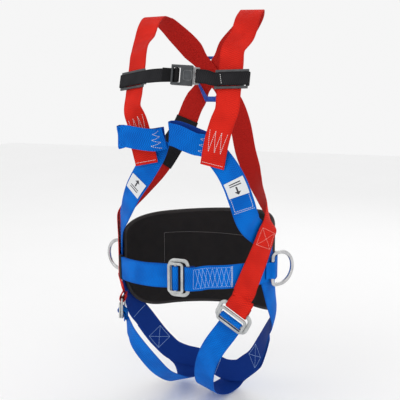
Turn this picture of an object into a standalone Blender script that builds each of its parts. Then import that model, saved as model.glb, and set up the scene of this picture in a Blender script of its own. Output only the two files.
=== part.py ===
"""Full-body fall-arrest harness with a work-positioning belt, in its worn shape.

Axes: +Z up, the front of the wearer faces -Y, +X is the wearer's left. The origin is on the
wearer's torso axis at belt height. Sizes below are in millimetres; the scene is in metres.
"""
import math

import bpy
import bmesh
import numpy as np
from mathutils import Matrix, Vector

MM = 0.001
STEP = 13.0                 # longest stretch between two rows of a strap
HIP_STEP = 8.5              # the same, where a strap bends round the hip

# webbing
WEB = 45.0                  # width of the load-bearing webbing
CHEST_WEB = 24.0            # width of the chest strap
THICK = 2.0                 # thickness of every webbing
GAP = 0.9                   # air between two layers
LAYER = THICK + GAP

LABEL_HALF = 0.0125          # half a label, as a share of the seat strap

# waist pad: outer face is an ellipse round the torso axis
PAD_HALF_X = 157.0
PAD_HALF_Y = 108.0
PAD_CENTRE_Y = -3.0
PAD_THICK = 8.0
PAD_FRONT_ANGLE = {-1: 78.0, 1: 74.0}
PAD_TOP_BACK, PAD_TOP_END = 82.0, 46.0
PAD_BOTTOM_BACK, PAD_BOTTOM_END = -128.0, -50.0
BELT_TILT = 0.05            # the belt sits a little lower on the wearer's right
PAD_TILT = 0.08
BELT_FRONT_Z, BELT_BACK_Z = -8.0, -20.0

# distance of each layer's middle from the pad's outer face
UNDER_BELT = 1.6            # body strap
BELT = UNDER_BELT + LAYER
OVER_BELT = BELT + LAYER    # sewn tab of a side ring
OUTERMOST = OVER_BELT + LAYER

# pass-through buckles: an outer ring and an inner three-bar frame
RING_LONG, RING_SHORT, RING_BAND, RING_THICK = 72.0, 42.0, 7.0, 4.0
FRAME_LONG, FRAME_SHORT, FRAME_BAND, FRAME_THICK = 59.0, 31.0, 5.2, 3.6
FRAME_BAR = 5.0
FRAME_SHIFT = 5.2           # frame centre from ring centre, toward the adjustable side
FRAME_LIFT = RING_THICK / 2 + FRAME_THICK / 2 + GAP
RING_LOOP = math.hypot(RING_BAND, RING_THICK) / 2 + THICK / 2 + 0.4
FRAME_LOOP = math.hypot(FRAME_BAR, FRAME_THICK) / 2 + THICK / 2 + 0.4
RING_BAR_AT = RING_SHORT / 2 - RING_BAND / 2
TAIL_DEPTH = RING_THICK / 2 + THICK / 2 + 0.9
MAIN_DEPTH = TAIL_DEPTH + LAYER + 0.2

# wire rings
WIRE = 7.5
SIDE_RING_HEIGHT, SIDE_RING_DEPTH = 70.0, 58.0
DORSAL_RING_WIDTH, DORSAL_RING_DEPTH, DORSAL_WIRE = 79.0, 58.0, 7.0
SIDE_RING_ANGLE = {-1: 97.0, 1: 75.0}
SIDE_RING_OUTWARD = {-1: 80.0, 1: 14.0}
SIDE_RING_RAISED = {-1: 6.0, 1: 3.0}
TAB_WIDE = 32.0             # webbing tab round a side ring's bar

# back plate, where the two shoulder straps cross
CROSS = (0.0, 86.0, 362.0)          # middle of the plate's window
CROSSING_AT = (-40.0, -23.0, -18.0, -13.0, 0.0, 13.0, 18.0, 23.0, 36.0)
CROSS_LEAN = (0.61, 0.79)           # the straps cross the window at this slant
DORSAL_BAR_BEHIND = 8.9             # bar of the dorsal ring, body side of the plate
PLATE_HALF, PLATE_TOP_Z, PLATE_TIP_Z = 31.6, 397.5, 306.0
PLATE_THICK, PLATE_BAND, PLATE_SIDE_BAND = 3.0, 9.0, 4.0
PLATE_SHOULDER_Z = 346.0            # here the sides turn in to the tip
GATHERED = 33.0                     # width of the shoulder straps in the window

# chest strap hardware
SLIDER_Z, SLIDER_X, SLIDER_Y = 349.0, 90.0, -87.0
SLIDER_TURN = {-1: math.radians(-24.0), 1: math.radians(-4.0)}
SLIDER_HIGH = 34.0
STRAP_LEAN = math.radians(18.0)     # the shoulder straps lean back here
SLIDER_DEEP = THICK + 1.6           # room for the strap between the front and the back bars
SLIDER_FRONT = 3.0                  # thickness of the front frame
SLIDER_SLOT = 4.8                   # slot for the chest strap, beside the outer bar
SLIDER_END_BAR = 3.4

# chest buckle: distances from its middle along the chest strap
CHEST_BUCKLE_SHARE = 0.60            # share of the chest strap's run where the buckle sits
LADDER_AT, LADDER_WIDE, LADDER_THICK = 12.6, 3.2, 3.4
LADDER_LOOP = math.hypot(LADDER_WIDE, LADDER_THICK) / 2 + THICK / 2 + 0.4
LATCH_BAR_AT, LATCH_BAR = 25.6, 3.4
LATCH_LOOP = math.hypot(LATCH_BAR, LATCH_BAR) / 2 + THICK / 2 + 0.4
ARM_PIVOT_AT, ARM_PIVOT_UP = 14.2, 8.6

# share of the seat strap that each thigh strap is sewn to, from its far end to its near end
SEWN_TO_SEAT = {-1: (0.352, 0.405), 1: (0.665, 0.59)}
SEWN_LIFT = LAYER + 0.7        # over the seat strap, at the sewn end
SEWN_PARTING = 3.4             # more than that where the two straps part


def material(name, colour, roughness, metallic=0.0):
    """A plain Principled material in the piece's own colour."""
    made = bpy.data.materials.get(name) or bpy.data.materials.new(name)
    made.use_nodes = True
    shader = made.node_tree.nodes["Principled BSDF"]
    shader.inputs["Base Color"].default_value = (*colour, 1.0)
    shader.inputs["Roughness"].default_value = roughness
    shader.inputs["Metallic"].default_value = metallic
    made.diffuse_color = (*colour, 1.0)
    return made


def red_webbing():
    return material("red_webbing", (0.72, 0.02, 0.02), 0.7)


def blue_webbing():
    return material("blue_webbing", (0.01, 0.11, 0.62), 0.65)


def black_webbing():
    return material("black_webbing", (0.02, 0.02, 0.022), 0.75)


def pad_mesh():
    return material("pad_mesh", (0.015, 0.015, 0.016), 0.9)


def zinc_steel():
    return material("zinc_steel", (0.72, 0.74, 0.74), 0.35, 1.0)


def bright_steel():
    return material("bright_steel", (0.8, 0.8, 0.8), 0.2, 1.0)


def dark_plastic():
    return material("dark_plastic", (0.045, 0.048, 0.05), 0.45)


def blue_plastic():
    return material("blue_plastic", (0.02, 0.09, 0.45), 0.4)


def label_cloth():
    return material("label_cloth", (0.85, 0.86, 0.88), 0.6)


def mesh_object(name, points, faces, surface):
    """A mesh object in the harness collection; points are in millimetres."""
    mesh = bpy.data.meshes.new(name)
    mesh.from_pydata([tuple(p * MM for p in point) for point in points], [], faces)
    mesh.update()
    made = bpy.data.objects.new(name, mesh)
    made.data.materials.append(surface)
    bpy.data.collections["safety_harness"].objects.link(made)
    return made


def smooth_shade(made, angle=35.0):
    """Smooth faces, with edges sharper than the angle kept crisp."""
    for face in made.data.polygons:
        face.use_smooth = True
    made.data.set_sharp_from_angle(angle=math.radians(angle))


def unit(vector):
    """The vector at length one."""
    return np.asarray(vector, float) / np.linalg.norm(vector)


# ---- strap routes ---------------------------------------------------------------------------
# A station is (x, y, z, normal x, y, z, hip weight, hip offset): where the middle of the webbing
# is, which way its outer face looks, and how far it is pulled on to the waist ellipse.

def at(x, y, z, nx, ny, nz):
    """A free station: a place and the way the webbing's outer face looks."""
    return np.array([x, y, z, nx, ny, nz, 0.0, 0.0])


def ellipse_at(angle, offset):
    """Point and outward normal on the waist ellipse; angle 0 is the front, 90 the wearer's left."""
    turn = np.radians(angle)
    normal = np.array([np.sin(turn) / PAD_HALF_X, -np.cos(turn) / PAD_HALF_Y])
    normal = normal / np.linalg.norm(normal, axis=0)
    point = np.array([PAD_HALF_X * np.sin(turn), PAD_CENTRE_Y - PAD_HALF_Y * np.cos(turn)])
    return point + normal * offset, normal


def hip(angle, z, offset):
    """A station that lies round the waist pad, at an angle, a height and a distance outside it."""
    point, normal = ellipse_at(angle, offset)
    return np.array([*point, z, *normal, 0.0, 1.0, offset])


def on_plane(centre, along, normal, rows):
    """Stations from (distance, depth, normal angle) rows drawn in the plane of a buckle."""
    made = []
    for distance, depth, look in rows:
        place = centre + along * distance + normal * depth
        facing = along * math.cos(look) + normal * math.sin(look)
        made.append(np.array([*place, *facing, 0.0, 0.0]))
    return made


def arc_rows(at_distance, at_depth, radius, start, end, pieces):
    """Rows round a bar; each looks straight away from the bar's middle."""
    turns = [math.radians(start + (end - start) * k / pieces) for k in range(pieces + 1)]
    return [(at_distance + radius * math.cos(t), at_depth + radius * math.sin(t), t) for t in turns]


def ring_side_rows(main_from, return_to, bar_at, lift, loop, main_depth, inner_depth):
    """Webbing sewn round a buckle's end bar: outer run in, round the bar, inner run back."""
    up = math.pi / 2
    rows = [(main_from, main_depth, up), (bar_at + 1.45 * loop, lift + 0.62 * loop, up - 0.35)]
    rows += arc_rows(bar_at, lift, loop, 75, 285, 9)
    rows += [(bar_at + 1.6 * loop, min(lift - 1.05 * loop, inner_depth + 0.6), -up)]
    return rows + [(return_to, inner_depth, -up)]


def frame_side_rows(main_from, tail_to, bar_at, lift, loop, tail_depth, main_depth):
    """Webbing round an adjuster's bar: inner run in, round the bar, outer tail back."""
    up = math.pi / 2
    edge = bar_at + loop
    rows = [(main_from, main_depth, -up), (bar_at + 1.65 * loop, main_depth + 0.1, -up - 0.1)]
    rows += [(bar_at + 0.55 * loop, main_depth + 2.0, -up - 0.6)]
    rows += arc_rows(bar_at, lift, loop, 250, 0, 11)
    rows += [(edge + 0.1, lift * 0.6 + tail_depth * 0.4, 0.0)]
    rows += [(edge + 0.9, lift * 0.25 + tail_depth * 0.75, 0.35), (edge + 2.4, tail_depth + 0.6, 1.0)]
    return rows + [(edge + 5.0, tail_depth - 0.05, up), (tail_to, tail_depth, up)]


def big_ring_rows(main_from, return_to):
    """Rows of the webbing sewn round a pass-through buckle's ring."""
    return ring_side_rows(main_from, return_to, RING_BAR_AT, 0.0, RING_LOOP, -TAIL_DEPTH, -MAIN_DEPTH)


def big_frame_rows(main_from, tail_to):
    """Rows of the webbing round the middle bar of a pass-through buckle's frame."""
    return frame_side_rows(main_from, tail_to, FRAME_SHIFT, FRAME_LIFT, FRAME_LOOP, -TAIL_DEPTH, -MAIN_DEPTH)


def smooth_route(stations):
    """Catmull-Rom curve through the stations, cut into stretches no longer than STEP."""
    rows = np.array(stations)
    rows = np.vstack([2 * rows[0] - rows[1], rows, 2 * rows[-1] - rows[-2]])
    knots = np.concatenate([[0.0], np.cumsum(np.linalg.norm(np.diff(rows[:, :3], axis=0), axis=1) ** 0.5)])
    made = []
    for k in range(1, len(rows) - 2):
        length = np.linalg.norm(rows[k + 1, :3] - rows[k, :3])
        step_length = HIP_STEP if rows[k, 6] + rows[k + 1, 6] > 0 else STEP
        cuts = max(1, math.ceil(length / step_length))
        for step in range(cuts):
            t = knots[k] + (knots[k + 1] - knots[k]) * step / cuts
            made.append(blend_rows(rows[k - 1:k + 3], knots[k - 1:k + 3], t))
    made.append(rows[-2])
    return np.array(made)


def blend_rows(four, when, t):
    """One point of a centripetal Catmull-Rom stretch."""
    def mix(a, b, ta, tb):
        return a * ((tb - t) / (tb - ta)) + b * ((t - ta) / (tb - ta))
    first = [mix(four[i], four[i + 1], when[i], when[i + 1]) for i in range(3)]
    second = [mix(first[i], first[i + 1], when[i], when[i + 2]) for i in range(2)]
    place = mix(second[0], second[1], when[1], when[2])
    share = (t - when[1]) / (when[2] - when[1])
    place[6:] = four[1][6:] * (1 - share) + four[2][6:] * share
    if four[1][6] * four[2][6] == 0:
        place[7] = max(four[1][7], four[2][7])
    return place


def across_route(route, lift=0.0):
    """Middle line, outward normal and across direction of every row of a route."""
    middle = route[:, :3]
    along = np.gradient(middle, axis=0)
    along /= np.linalg.norm(along, axis=1)[:, None]
    normal = route[:, 3:6] - along * np.sum(route[:, 3:6] * along, axis=1)[:, None]
    normal /= np.linalg.norm(normal, axis=1)[:, None]
    across = np.cross(along, normal)
    return middle + normal * lift, normal, across


def pull_to_hip(points, weight, offset):
    """Pull points on to the waist ellipse, at the given distance outside it."""
    angle = np.arctan2(points[..., 0] / PAD_HALF_X, -(points[..., 1] - PAD_CENTRE_Y) / PAD_HALF_Y)
    flat, _ = ellipse_at(np.degrees(angle), offset)
    target = points.copy()
    target[..., 0] = flat[0]
    target[..., 1] = flat[1]
    share = weight[..., None]
    share = share * share * (3 - 2 * share)
    return points * (1 - share) + target * share


def gathered_width(route, width, narrow):
    """Width of every row: narrower where the strap is gathered in the back plate's window."""
    away = np.linalg.norm(route[:, :3] - np.array(CROSS), axis=1)
    share = np.clip((away - 30.0) / 34.0, 0.0, 1.0)
    share = share * share * (3 - 2 * share)
    return narrow * (1 - share) + width * share


def ribbon(name, route, width, surface, thick=THICK, columns=2, lift=0.0, only=None, narrow=None):
    """A strap: rows across a route, skinned as an open sheet and given its thickness."""
    middle, _, across = across_route(route, lift)
    wide = gathered_width(route, width, narrow or width)
    places = wide[:, None] * np.linspace(-0.5, 0.5, columns)[None, :]
    points = middle[:, None, :] + across[:, None, :] * places[:, :, None]
    weight = np.repeat(route[:, 6:7], columns, axis=1)
    offset = np.repeat(route[:, 7:8], columns, axis=1) + lift
    points = pull_to_hip(points, weight, offset)
    if only is not None:
        points = points[only]
    rows = len(points)
    faces = [(r * columns + c, r * columns + c + 1, (r + 1) * columns + c + 1, (r + 1) * columns + c)
             for r in range(rows - 1) for c in range(columns - 1)]
    made = mesh_object(name, points.reshape(-1, 3), faces, surface)
    solid = made.modifiers.new("thickness", "SOLIDIFY")
    solid.thickness = thick * MM
    solid.offset = 0.0
    smooth_shade(made)
    return made


def rows_between(route, start, end):
    """The numbers of a route's rows between two shares of its length."""
    length = np.concatenate([[0.0], np.cumsum(np.linalg.norm(np.diff(route[:, :3], axis=0), axis=1))])
    share = length / length[-1]
    return np.flatnonzero((share >= start) & (share <= end))


def share_at(route, x, y, z):
    """Share of a route's length that lies nearest to a place."""
    length = np.concatenate([[0.0], np.cumsum(np.linalg.norm(np.diff(route[:, :3], axis=0), axis=1))])
    nearest = np.argmin(np.linalg.norm(route[:, :3] - np.array([x, y, z]), axis=1))
    return length[nearest] / length[-1]


# ---- buckle places --------------------------------------------------------------------------

def buckle_axes(normal, down):
    """Right-handed axes of a buckle: along the strap, across it (the bars) and outward."""
    outward = unit(normal)
    along = unit(np.asarray(down, float) - outward * np.dot(down, outward))
    return along, np.cross(outward, along), outward


THIGH_BUCKLES = {
    -1: (np.array([-141.7, -54.0, -103.0]), buckle_axes((-0.93, -0.36, 0.0), (0.05, -0.18, -0.98))),
    1: (np.array([103.0, -96.0, -81.0]), buckle_axes((-0.2, -0.98, -0.05), (-0.45, 0.12, -0.89))),
}
BELT_BUCKLE = (np.array([6.0, PAD_CENTRE_Y - PAD_HALF_Y - BELT - MAIN_DEPTH + 1.0, BELT_FRONT_Z]),
               buckle_axes((0.0, -1.0, 0.0), (-1.0, 0.0, 0.0)))


# ---- routes ---------------------------------------------------------------------------------

def slider_axes(side):
    """Directions at a slider: across the strap, up along it and outward to the front."""
    turn = SLIDER_TURN[side]
    high = np.array([0.0, math.sin(STRAP_LEAN), math.cos(STRAP_LEAN)])
    forward = np.array([0.0, -math.cos(STRAP_LEAN), math.sin(STRAP_LEAN)])
    right = np.array([1.0, 0.0, 0.0])
    outward = forward * math.cos(turn) + right * math.sin(turn)
    return right * math.cos(turn) - forward * math.sin(turn), high, outward


def front_stations(side):
    """Chest end of a shoulder strap up to the top of the shoulder."""
    _, high, look = slider_axes(side)
    turned = math.tan(SLIDER_TURN[side])
    stations = [at(side * 63, -103, 197, 0, -1, 0), at(side * 72, -106.5, 240, 0, -1, 0),
                at(side * 81, -104, 274, turned / 2, -0.99, 0.12)]
    for shift in (-54, -27, 0, 27, 54):
        place = np.array([side * SLIDER_X, SLIDER_Y, SLIDER_Z]) + high * shift
        stations.append(at(*place, *look))
    return stations


def shoulder_top(side, x, lift):
    """Over the shoulder; the webbing's face turns from the front to the top."""
    return [at(x - side * 2, -40, 426 + lift * 0.3, side * 0.18, -0.75, 0.6),
            at(x, -12, 455 + lift * 0.8, side * 0.1, -0.4, 0.9), at(x, 20, 471 + lift, 0, 0.05, 1),
            at(x - side * 8, 47, 463 + lift, 0, 0.6, 0.8)]


def crossing(side, depths):
    """Stations of one shoulder strap through the back plate's window, on its slanting line."""
    x, y, z = CROSS
    return [at(x - side * CROSS_LEAN[0] * d, y + depth, z - CROSS_LEAN[1] * d, 0, 1, 0)
            for d, depth in zip(CROSSING_AT, depths)]


def right_shoulder_route():
    """Wearer's right shoulder, across the back, round the left hip to the left thigh ring."""
    stations = front_stations(-1) + shoulder_top(-1, -94.0, 0.0) + [
        at(-66, 59, 442, 0, 0.9, 0.45), at(-42, 68, 417, 0, 1, 0.1)]
    stations += crossing(-1, (-8.4, -5.4, -4.6, -4.0, -2.8, -1.8, 0.5, 3.0, 4.6)) + [
        at(34, 91, 316, 0, 1, 0), at(46, 91, 298, 0, 1, 0),
        at(61, 88, 262, 0.05, 1, 0), at(75, 84, 205, 0.12, 1, 0), at(92, 74, 166, 0.35, 0.9, 0),
        at(108, 54, 142, 0.65, 0.75, 0), at(124, 26, 124, 0.9, 0.45, 0), at(139, 0, 110, 1, 0.1, 0),
        at(152, -29, 95, 0.95, -0.25, 0), hip(69, 72, OUTERMOST + 1.0), hip(65, 50, OUTERMOST),
        hip(60, 25, OUTERMOST), hip(55, 0, OUTERMOST), hip(51, -22, OUTERMOST),
        hip(47.5, -40, OUTERMOST + 2)]
    centre, (along, across, outward) = THIGH_BUCKLES[1]
    stations += on_plane(centre, -along, outward, big_ring_rows(38.0, 54.0))
    return smooth_route(stations)


def left_shoulder_route():
    """Wearer's left shoulder, across the back, round the right hip to the right thigh ring."""
    stations = front_stations(1) + shoulder_top(1, 101.0, 6.0) + [
        at(72, 62, 442, 0, 0.88, 0.45), at(43, 72, 415, 0, 1, 0.1)]
    stations += crossing(1, (-5.4, -2.9, -0.7, 1.8, 2.8, 4.6, 5.2, 6.0, 7.0)) + [
        at(-31, 93, 318, 0, 1, 0), at(-43, 93, 298, 0, 1, 0),
        at(-60, 89, 256, -0.1, 1, 0), at(-88, 84, 212, -0.3, 1, 0), at(-113, 71, 168, -0.6, 0.8, 0),
        at(-132, 44, 136, -0.85, 0.5, 0), at(-144, 16, 112, -0.98, 0.15, 0),
        at(-154, -6, 90, -1, -0.05, 0), hip(-82, 66, OVER_BELT + 1.0), hip(-80.5, 40, OVER_BELT),
        hip(-78.5, 14, OVER_BELT), hip(-77, -10, OVER_BELT), hip(-77, -30, OVER_BELT + 0.4),
        hip(-78.5, -43, OVER_BELT + 1.2), at(-156, -35.5, -57, -0.95, -0.33, 0)]
    centre, (along, across, outward) = THIGH_BUCKLES[-1]
    rows = ring_side_rows(31.0, 34.0, RING_BAR_AT, 0.0, RING_LOOP, -2.0, -6.0)
    stations += on_plane(centre, -along, outward, rows)
    return smooth_route(stations)


def seat_route():
    """Right chest, down the right front, under the seat and up to the left chest."""
    return smooth_route([
        at(-42, -93, 243, 0, -1, 0), at(-51, -95, 216, 0, -1, 0), at(-69, -98, 183, -0.15, -1, 0),
        at(-96, -92, 144, -0.4, -0.9, 0), at(-121, -75, 103, -0.65, -0.75, 0),
        hip(-69, 62, UNDER_BELT), hip(-75.5, 25, UNDER_BELT), hip(-78.5, -8, UNDER_BELT),
        hip(-86, -45, UNDER_BELT), hip(-93, -74, UNDER_BELT + 1), hip(-98, -97, UNDER_BELT + 2),
        hip(-103, -119, UNDER_BELT + 3), at(-137, 40, -160, -0.9, 0.5, 0),
        at(-110, 62, -212, -0.7, 0.75, -0.1), at(-86, 77, -243, -0.35, 0.95, -0.2),
        at(-59, 84, -254, -0.1, 1, -0.1), at(-24, 86, -258, 0, 1, -0.05), at(8, 84, -265, 0, 1, -0.1),
        at(38, 78, -272, 0.1, 0.95, -0.2), at(72, 70, -264, 0.3, 0.9, -0.3),
        at(101, 60, -235, 0.6, 0.75, -0.2), at(124, 42, -190, 0.85, 0.5, 0),
        at(146, 14, -137, 0.97, 0.2, 0), hip(89, -96, UNDER_BELT + 3), hip(84, -70, UNDER_BELT + 1),
        hip(79, -40, UNDER_BELT),
        hip(74, -8, UNDER_BELT), hip(71, 25, UNDER_BELT), hip(67, 60, UNDER_BELT),
        at(128, -89, 98, 0.55, -0.83, 0), at(117, -99, 136, 0.35, -0.93, 0),
        at(105, -101, 168, 0.2, -1, 0), at(90, -99.5, 193, 0.05, -1, 0), at(69, -96, 217, 0, -1, 0),
        at(46, -93, 238, 0, -1, 0)])


def thigh_route(side, seat):
    """Sewn outside the seat strap, then round the inside of the thigh to the thigh buckle."""
    first, last = SEWN_TO_SEAT[side]
    rows = rows_between(seat, min(first, last), max(first, last))
    middle, normal, _ = across_route(seat)
    outside = middle[rows][::-side]
    parting = np.linspace(0.0, 1.0, len(outside))[:, None] ** 2
    outside = outside + normal[rows][::-side] * (SEWN_LIFT + SEWN_PARTING * parting)
    looks = seat[rows, 3:6][::-side]
    stations = [at(*outside[k], *looks[k]) for k in range(len(outside))]
    routes = {
        -1: [at(-69, 89.5, -270, 0.0, 1.0, -0.1), at(-58, 88, -289, 0.0, 0.8, -0.6),
             at(-50, 66, -296, 0.2, 0.1, -0.97),
             at(-46, 20, -281, 0.3, -0.1, -0.95), at(-50, -18, -260, 0.3, -0.3, -0.85),
             at(-61, -52, -233, 0.1, -0.7, -0.65),
             at(-77, -74, -199, -0.1, -0.92, -0.35), at(-98, -83, -166, -0.4, -0.9, -0.1),
             at(-116, -77, -143, -0.75, -0.65, 0)],
        1: [at(60, 83.5, -282, 0.05, 0.98, -0.2), at(50, 81, -299, 0.0, 0.65, -0.75),
            at(38, 52, -302, -0.25, 0.1, -0.97),
            at(28, 8, -286, -0.3, -0.15, -0.93), at(28, -34, -259, -0.3, -0.5, -0.8),
            at(36, -65, -216, -0.3, -0.85, -0.4), at(50, -85, -175, -0.28, -0.93, -0.15),
            at(66, -93, -145, -0.22, -0.97, -0.1)],
    }
    centre, (along, across, outward) = THIGH_BUCKLES[side]
    stations += routes[side] + on_plane(centre, along, outward, big_frame_rows(30.0, 58.0))
    return smooth_route(stations)


def belt_height(angle):
    """Height of the belt's middle: lower at the back and a little lower on the wearer's right."""
    turn = math.radians(angle)
    back = 0.5 - 0.5 * math.cos(turn)
    return (BELT_FRONT_Z + (BELT_BACK_Z - BELT_FRONT_Z) * back
            + BELT_TILT * PAD_HALF_X * math.sin(turn))


def belt_route():
    """Ring side of the belt buckle, round the back, to the frame side and its tail."""
    centre, (along, across, outward) = BELT_BUCKLE
    stations = [hip(angle, belt_height(angle), BELT) for angle in (37, 29)]
    stations += on_plane(centre, -along, outward, big_ring_rows(38.0, 40.0)[::-1])
    angles = [22, 29, 36, 44] + list(range(54, 300, 12)) + [306, 316, 326, 336]
    for angle in angles:
        stations.append(hip(angle, belt_height(angle), OVER_BELT if angle < 40 else BELT))
    stations += on_plane(centre, along, outward, big_frame_rows(32.0, 32.0))
    stations += [hip(angle, belt_height(angle), OVER_BELT) for angle in (336, 326, 316, 308, 301)]
    return smooth_route(stations)


# ---- pieces ---------------------------------------------------------------------------------

def outline_plate(name, loops, thick, placing, surface, round_edge=0.8):
    """A flat plate from closed outlines (the first is the rim, the others are holes)."""
    drawing = bpy.data.curves.new(name + "_outline", "CURVE")
    drawing.dimensions = "2D"
    drawing.fill_mode = "BOTH"
    drawing.extrude = thick / 2 * MM
    for loop in loops:
        line = drawing.splines.new("POLY")
        line.points.add(len(loop) - 1)
        for point, (x, y) in zip(line.points, loop):
            point.co = (x * MM, y * MM, 0.0, 1.0)
        line.use_cyclic_u = True
    holder = bpy.data.objects.new(name + "_outline", drawing)
    bpy.context.scene.collection.objects.link(holder)
    bpy.context.view_layer.update()
    mesh = bpy.data.meshes.new_from_object(holder.evaluated_get(bpy.context.evaluated_depsgraph_get()))
    bpy.data.objects.remove(holder)
    tidy = bmesh.new()
    tidy.from_mesh(mesh)
    bmesh.ops.remove_doubles(tidy, verts=tidy.verts, dist=0.00001)
    bmesh.ops.recalc_face_normals(tidy, faces=tidy.faces)
    tidy.to_mesh(mesh)
    tidy.free()
    made = bpy.data.objects.new(name, mesh)
    made.data.materials.clear()
    made.data.materials.append(surface)
    made.matrix_world = placing
    bpy.data.collections["safety_harness"].objects.link(made)
    if round_edge:
        edge = made.modifiers.new("rounded_edges", "BEVEL")
        edge.width = round_edge * MM
        edge.segments = 1
        edge.angle_limit = math.radians(50)
        edge.use_clamp_overlap = True
    return made


def placing(centre, right, up, outward):
    """World matrix of a plate whose outline lies in the right-up plane."""
    grid = Matrix((unit(right), unit(up), unit(outward))).transposed().to_4x4()
    grid.translation = Vector(centre) * MM
    return grid


def rounded_box(wide, high, radius, centre=(0.0, 0.0), pieces=4):
    """Outline of a rectangle with round corners."""
    points = []
    for quarter, (sx, sy) in enumerate(((1, 1), (-1, 1), (-1, -1), (1, -1))):
        for k in range(pieces + 1):
            turn = math.pi / 2 * (quarter + k / pieces)
            points.append((centre[0] + sx * (wide / 2 - radius) + radius * math.cos(turn),
                           centre[1] + sy * (high / 2 - radius) + radius * math.sin(turn)))
    return points


def pass_through_buckle(prefix, centre, axes):
    """The outer ring and, just in front of it, the three-bar inner frame."""
    along, across, outward = axes
    ring_hole = rounded_box(RING_LONG - 2 * RING_BAND, RING_SHORT - 2 * RING_BAND, 5.0)
    ring = outline_plate(prefix + "_ring", [rounded_box(RING_LONG, RING_SHORT, 13.0), ring_hole],
                         RING_THICK, placing(centre, across, along, outward), zinc_steel(), 1.0)
    slot = (FRAME_SHORT - 2 * FRAME_BAND - FRAME_BAR) / 2
    slots = [rounded_box(FRAME_LONG - 2 * FRAME_BAND, slot, 2.0, (0.0, sign * (FRAME_BAR + slot) / 2), 2)
             for sign in (-1, 1)]
    middle = centre + along * FRAME_SHIFT + outward * FRAME_LIFT
    frame = outline_plate(prefix + "_frame", [rounded_box(FRAME_LONG, FRAME_SHORT, 7.0)] + slots,
                          FRAME_THICK, placing(middle, across, along, outward), zinc_steel(), 0.8)
    return ring, frame


def wire_ring(name, path, thick, placing_matrix, surface):
    """A closed wire bent to a path in its own plane."""
    line = bpy.data.curves.new(name, "CURVE")
    line.dimensions = "3D"
    line.bevel_depth = thick / 2 * MM
    line.bevel_resolution = 2
    wire = line.splines.new("POLY")
    wire.points.add(len(path) - 1)
    for point, (x, y) in zip(wire.points, path):
        point.co = (x * MM, y * MM, 0.0, 1.0)
    wire.use_cyclic_u = True
    made = bpy.data.objects.new(name, line)
    made.data.materials.append(surface)
    made.matrix_world = placing_matrix
    bpy.data.collections["safety_harness"].objects.link(made)
    return made


def ring_path(bar, depth, wire, corner, bow_pieces=14):
    """D outline: a straight bar on the axis and a bow that reaches out to the given depth."""
    half = bar / 2 - wire / 2
    flat = depth - wire - half
    quarter = [math.pi / 2 * k / 4 for k in range(5)]
    bar_part = [(0.0, y) for y in (-half + corner, 0.0, half - corner)]
    upper = [(corner * (1 - math.cos(t)), half - corner * (1 - math.sin(t))) for t in quarter[1:]]
    lower = [(corner * (1 - math.sin(t)), -half + corner * (1 - math.cos(t))) for t in quarter[:-1]]
    bow = [(flat + half * math.sin(math.pi * k / bow_pieces), half * math.cos(math.pi * k / bow_pieces))
           for k in range(bow_pieces + 1)]
    return bar_part + upper + bow + lower


def side_ring_axes(side):
    """Middle of a side ring's bar, the way the ring points and the belt's outward direction."""
    angle = side * SIDE_RING_ANGLE[side]
    point, normal = ellipse_at(angle, BELT + THICK / 2 + GAP + WIRE / 2)
    outward = np.array([*normal, 0.0])
    backward = np.array([-normal[1], normal[0], 0.0]) * side
    lean = math.radians(SIDE_RING_OUTWARD[side])
    reach = backward * math.cos(lean) + outward * math.sin(lean)
    return np.array([*point, belt_height(angle) + SIDE_RING_RAISED[side]]), reach, outward


def side_ring(side, name):
    """Wire D-ring that hangs on the belt by its upright bar."""
    bar, reach, _ = side_ring_axes(side)
    up = np.array([0.0, 0.0, 1.0])
    path = ring_path(SIDE_RING_HEIGHT, SIDE_RING_DEPTH, WIRE, 9.0)
    return wire_ring(name, path, WIRE, placing(bar, reach, up, np.cross(reach, up)), bright_steel())


def ring_tab(side, name):
    """Short webbing sewn to the belt in front of and behind a side ring's bar."""
    angle = side * SIDE_RING_ANGLE[side]
    bar, _, outward = side_ring_axes(side)
    forward = np.array([outward[1], -outward[0], 0.0]) * side
    loop = WIRE / 2 + THICK / 2 + GAP / 2
    height = belt_height(angle) + SIDE_RING_RAISED[side] * 0.7
    bar[2] = height
    hump = on_plane(bar, forward, outward, arc_rows(0.0, 0.0, loop, 172, 8, 9))
    behind = [hip(angle + side * turn, height, OVER_BELT) for turn in (10.0, 7.0, 4.6)]
    before = [hip(angle - side * turn, height, OVER_BELT) for turn in (4.4, 6.2)]
    return ribbon(name, smooth_route(behind + hump + before), TAB_WIDE, blue_webbing())


def lumbar_pad():
    """Padded back part of the belt: one curved sheet, tall at the back and low at its ends."""
    first, last = PAD_FRONT_ANGLE[1], 360.0 - PAD_FRONT_ANGLE[-1]
    columns, rows = 40, 4
    points = []
    for c in range(columns + 1):
        angle = first + (last - first) * c / columns
        share = abs(2.0 * c / columns - 1.0)
        ease = max(0.0, (share - 0.4) / 0.6) ** 2.2
        flat, _ = ellipse_at(angle, -PAD_THICK / 2)
        tilt = PAD_TILT * flat[0] * (1 - ease)
        top = PAD_TOP_BACK + (PAD_TOP_END - PAD_TOP_BACK) * ease + tilt
        bottom = PAD_BOTTOM_BACK + (PAD_BOTTOM_END - PAD_BOTTOM_BACK) * ease + tilt
        points += [(flat[0], flat[1], bottom + (top - bottom) * r / rows) for r in range(rows + 1)]
    step = rows + 1
    faces = [(c * step + r, (c + 1) * step + r, (c + 1) * step + r + 1, c * step + r + 1)
             for c in range(columns) for r in range(rows)]
    made = mesh_object("lumbar_pad", points, faces, pad_mesh())
    solid = made.modifiers.new("thickness", "SOLIDIFY")
    solid.thickness = PAD_THICK * MM
    solid.offset = 0.0
    edge = made.modifiers.new("soft_edge", "BEVEL")
    edge.width = 2.5 * MM
    edge.segments = 1
    edge.angle_limit = math.radians(60)
    smooth_shade(made, 50)
    return made


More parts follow.
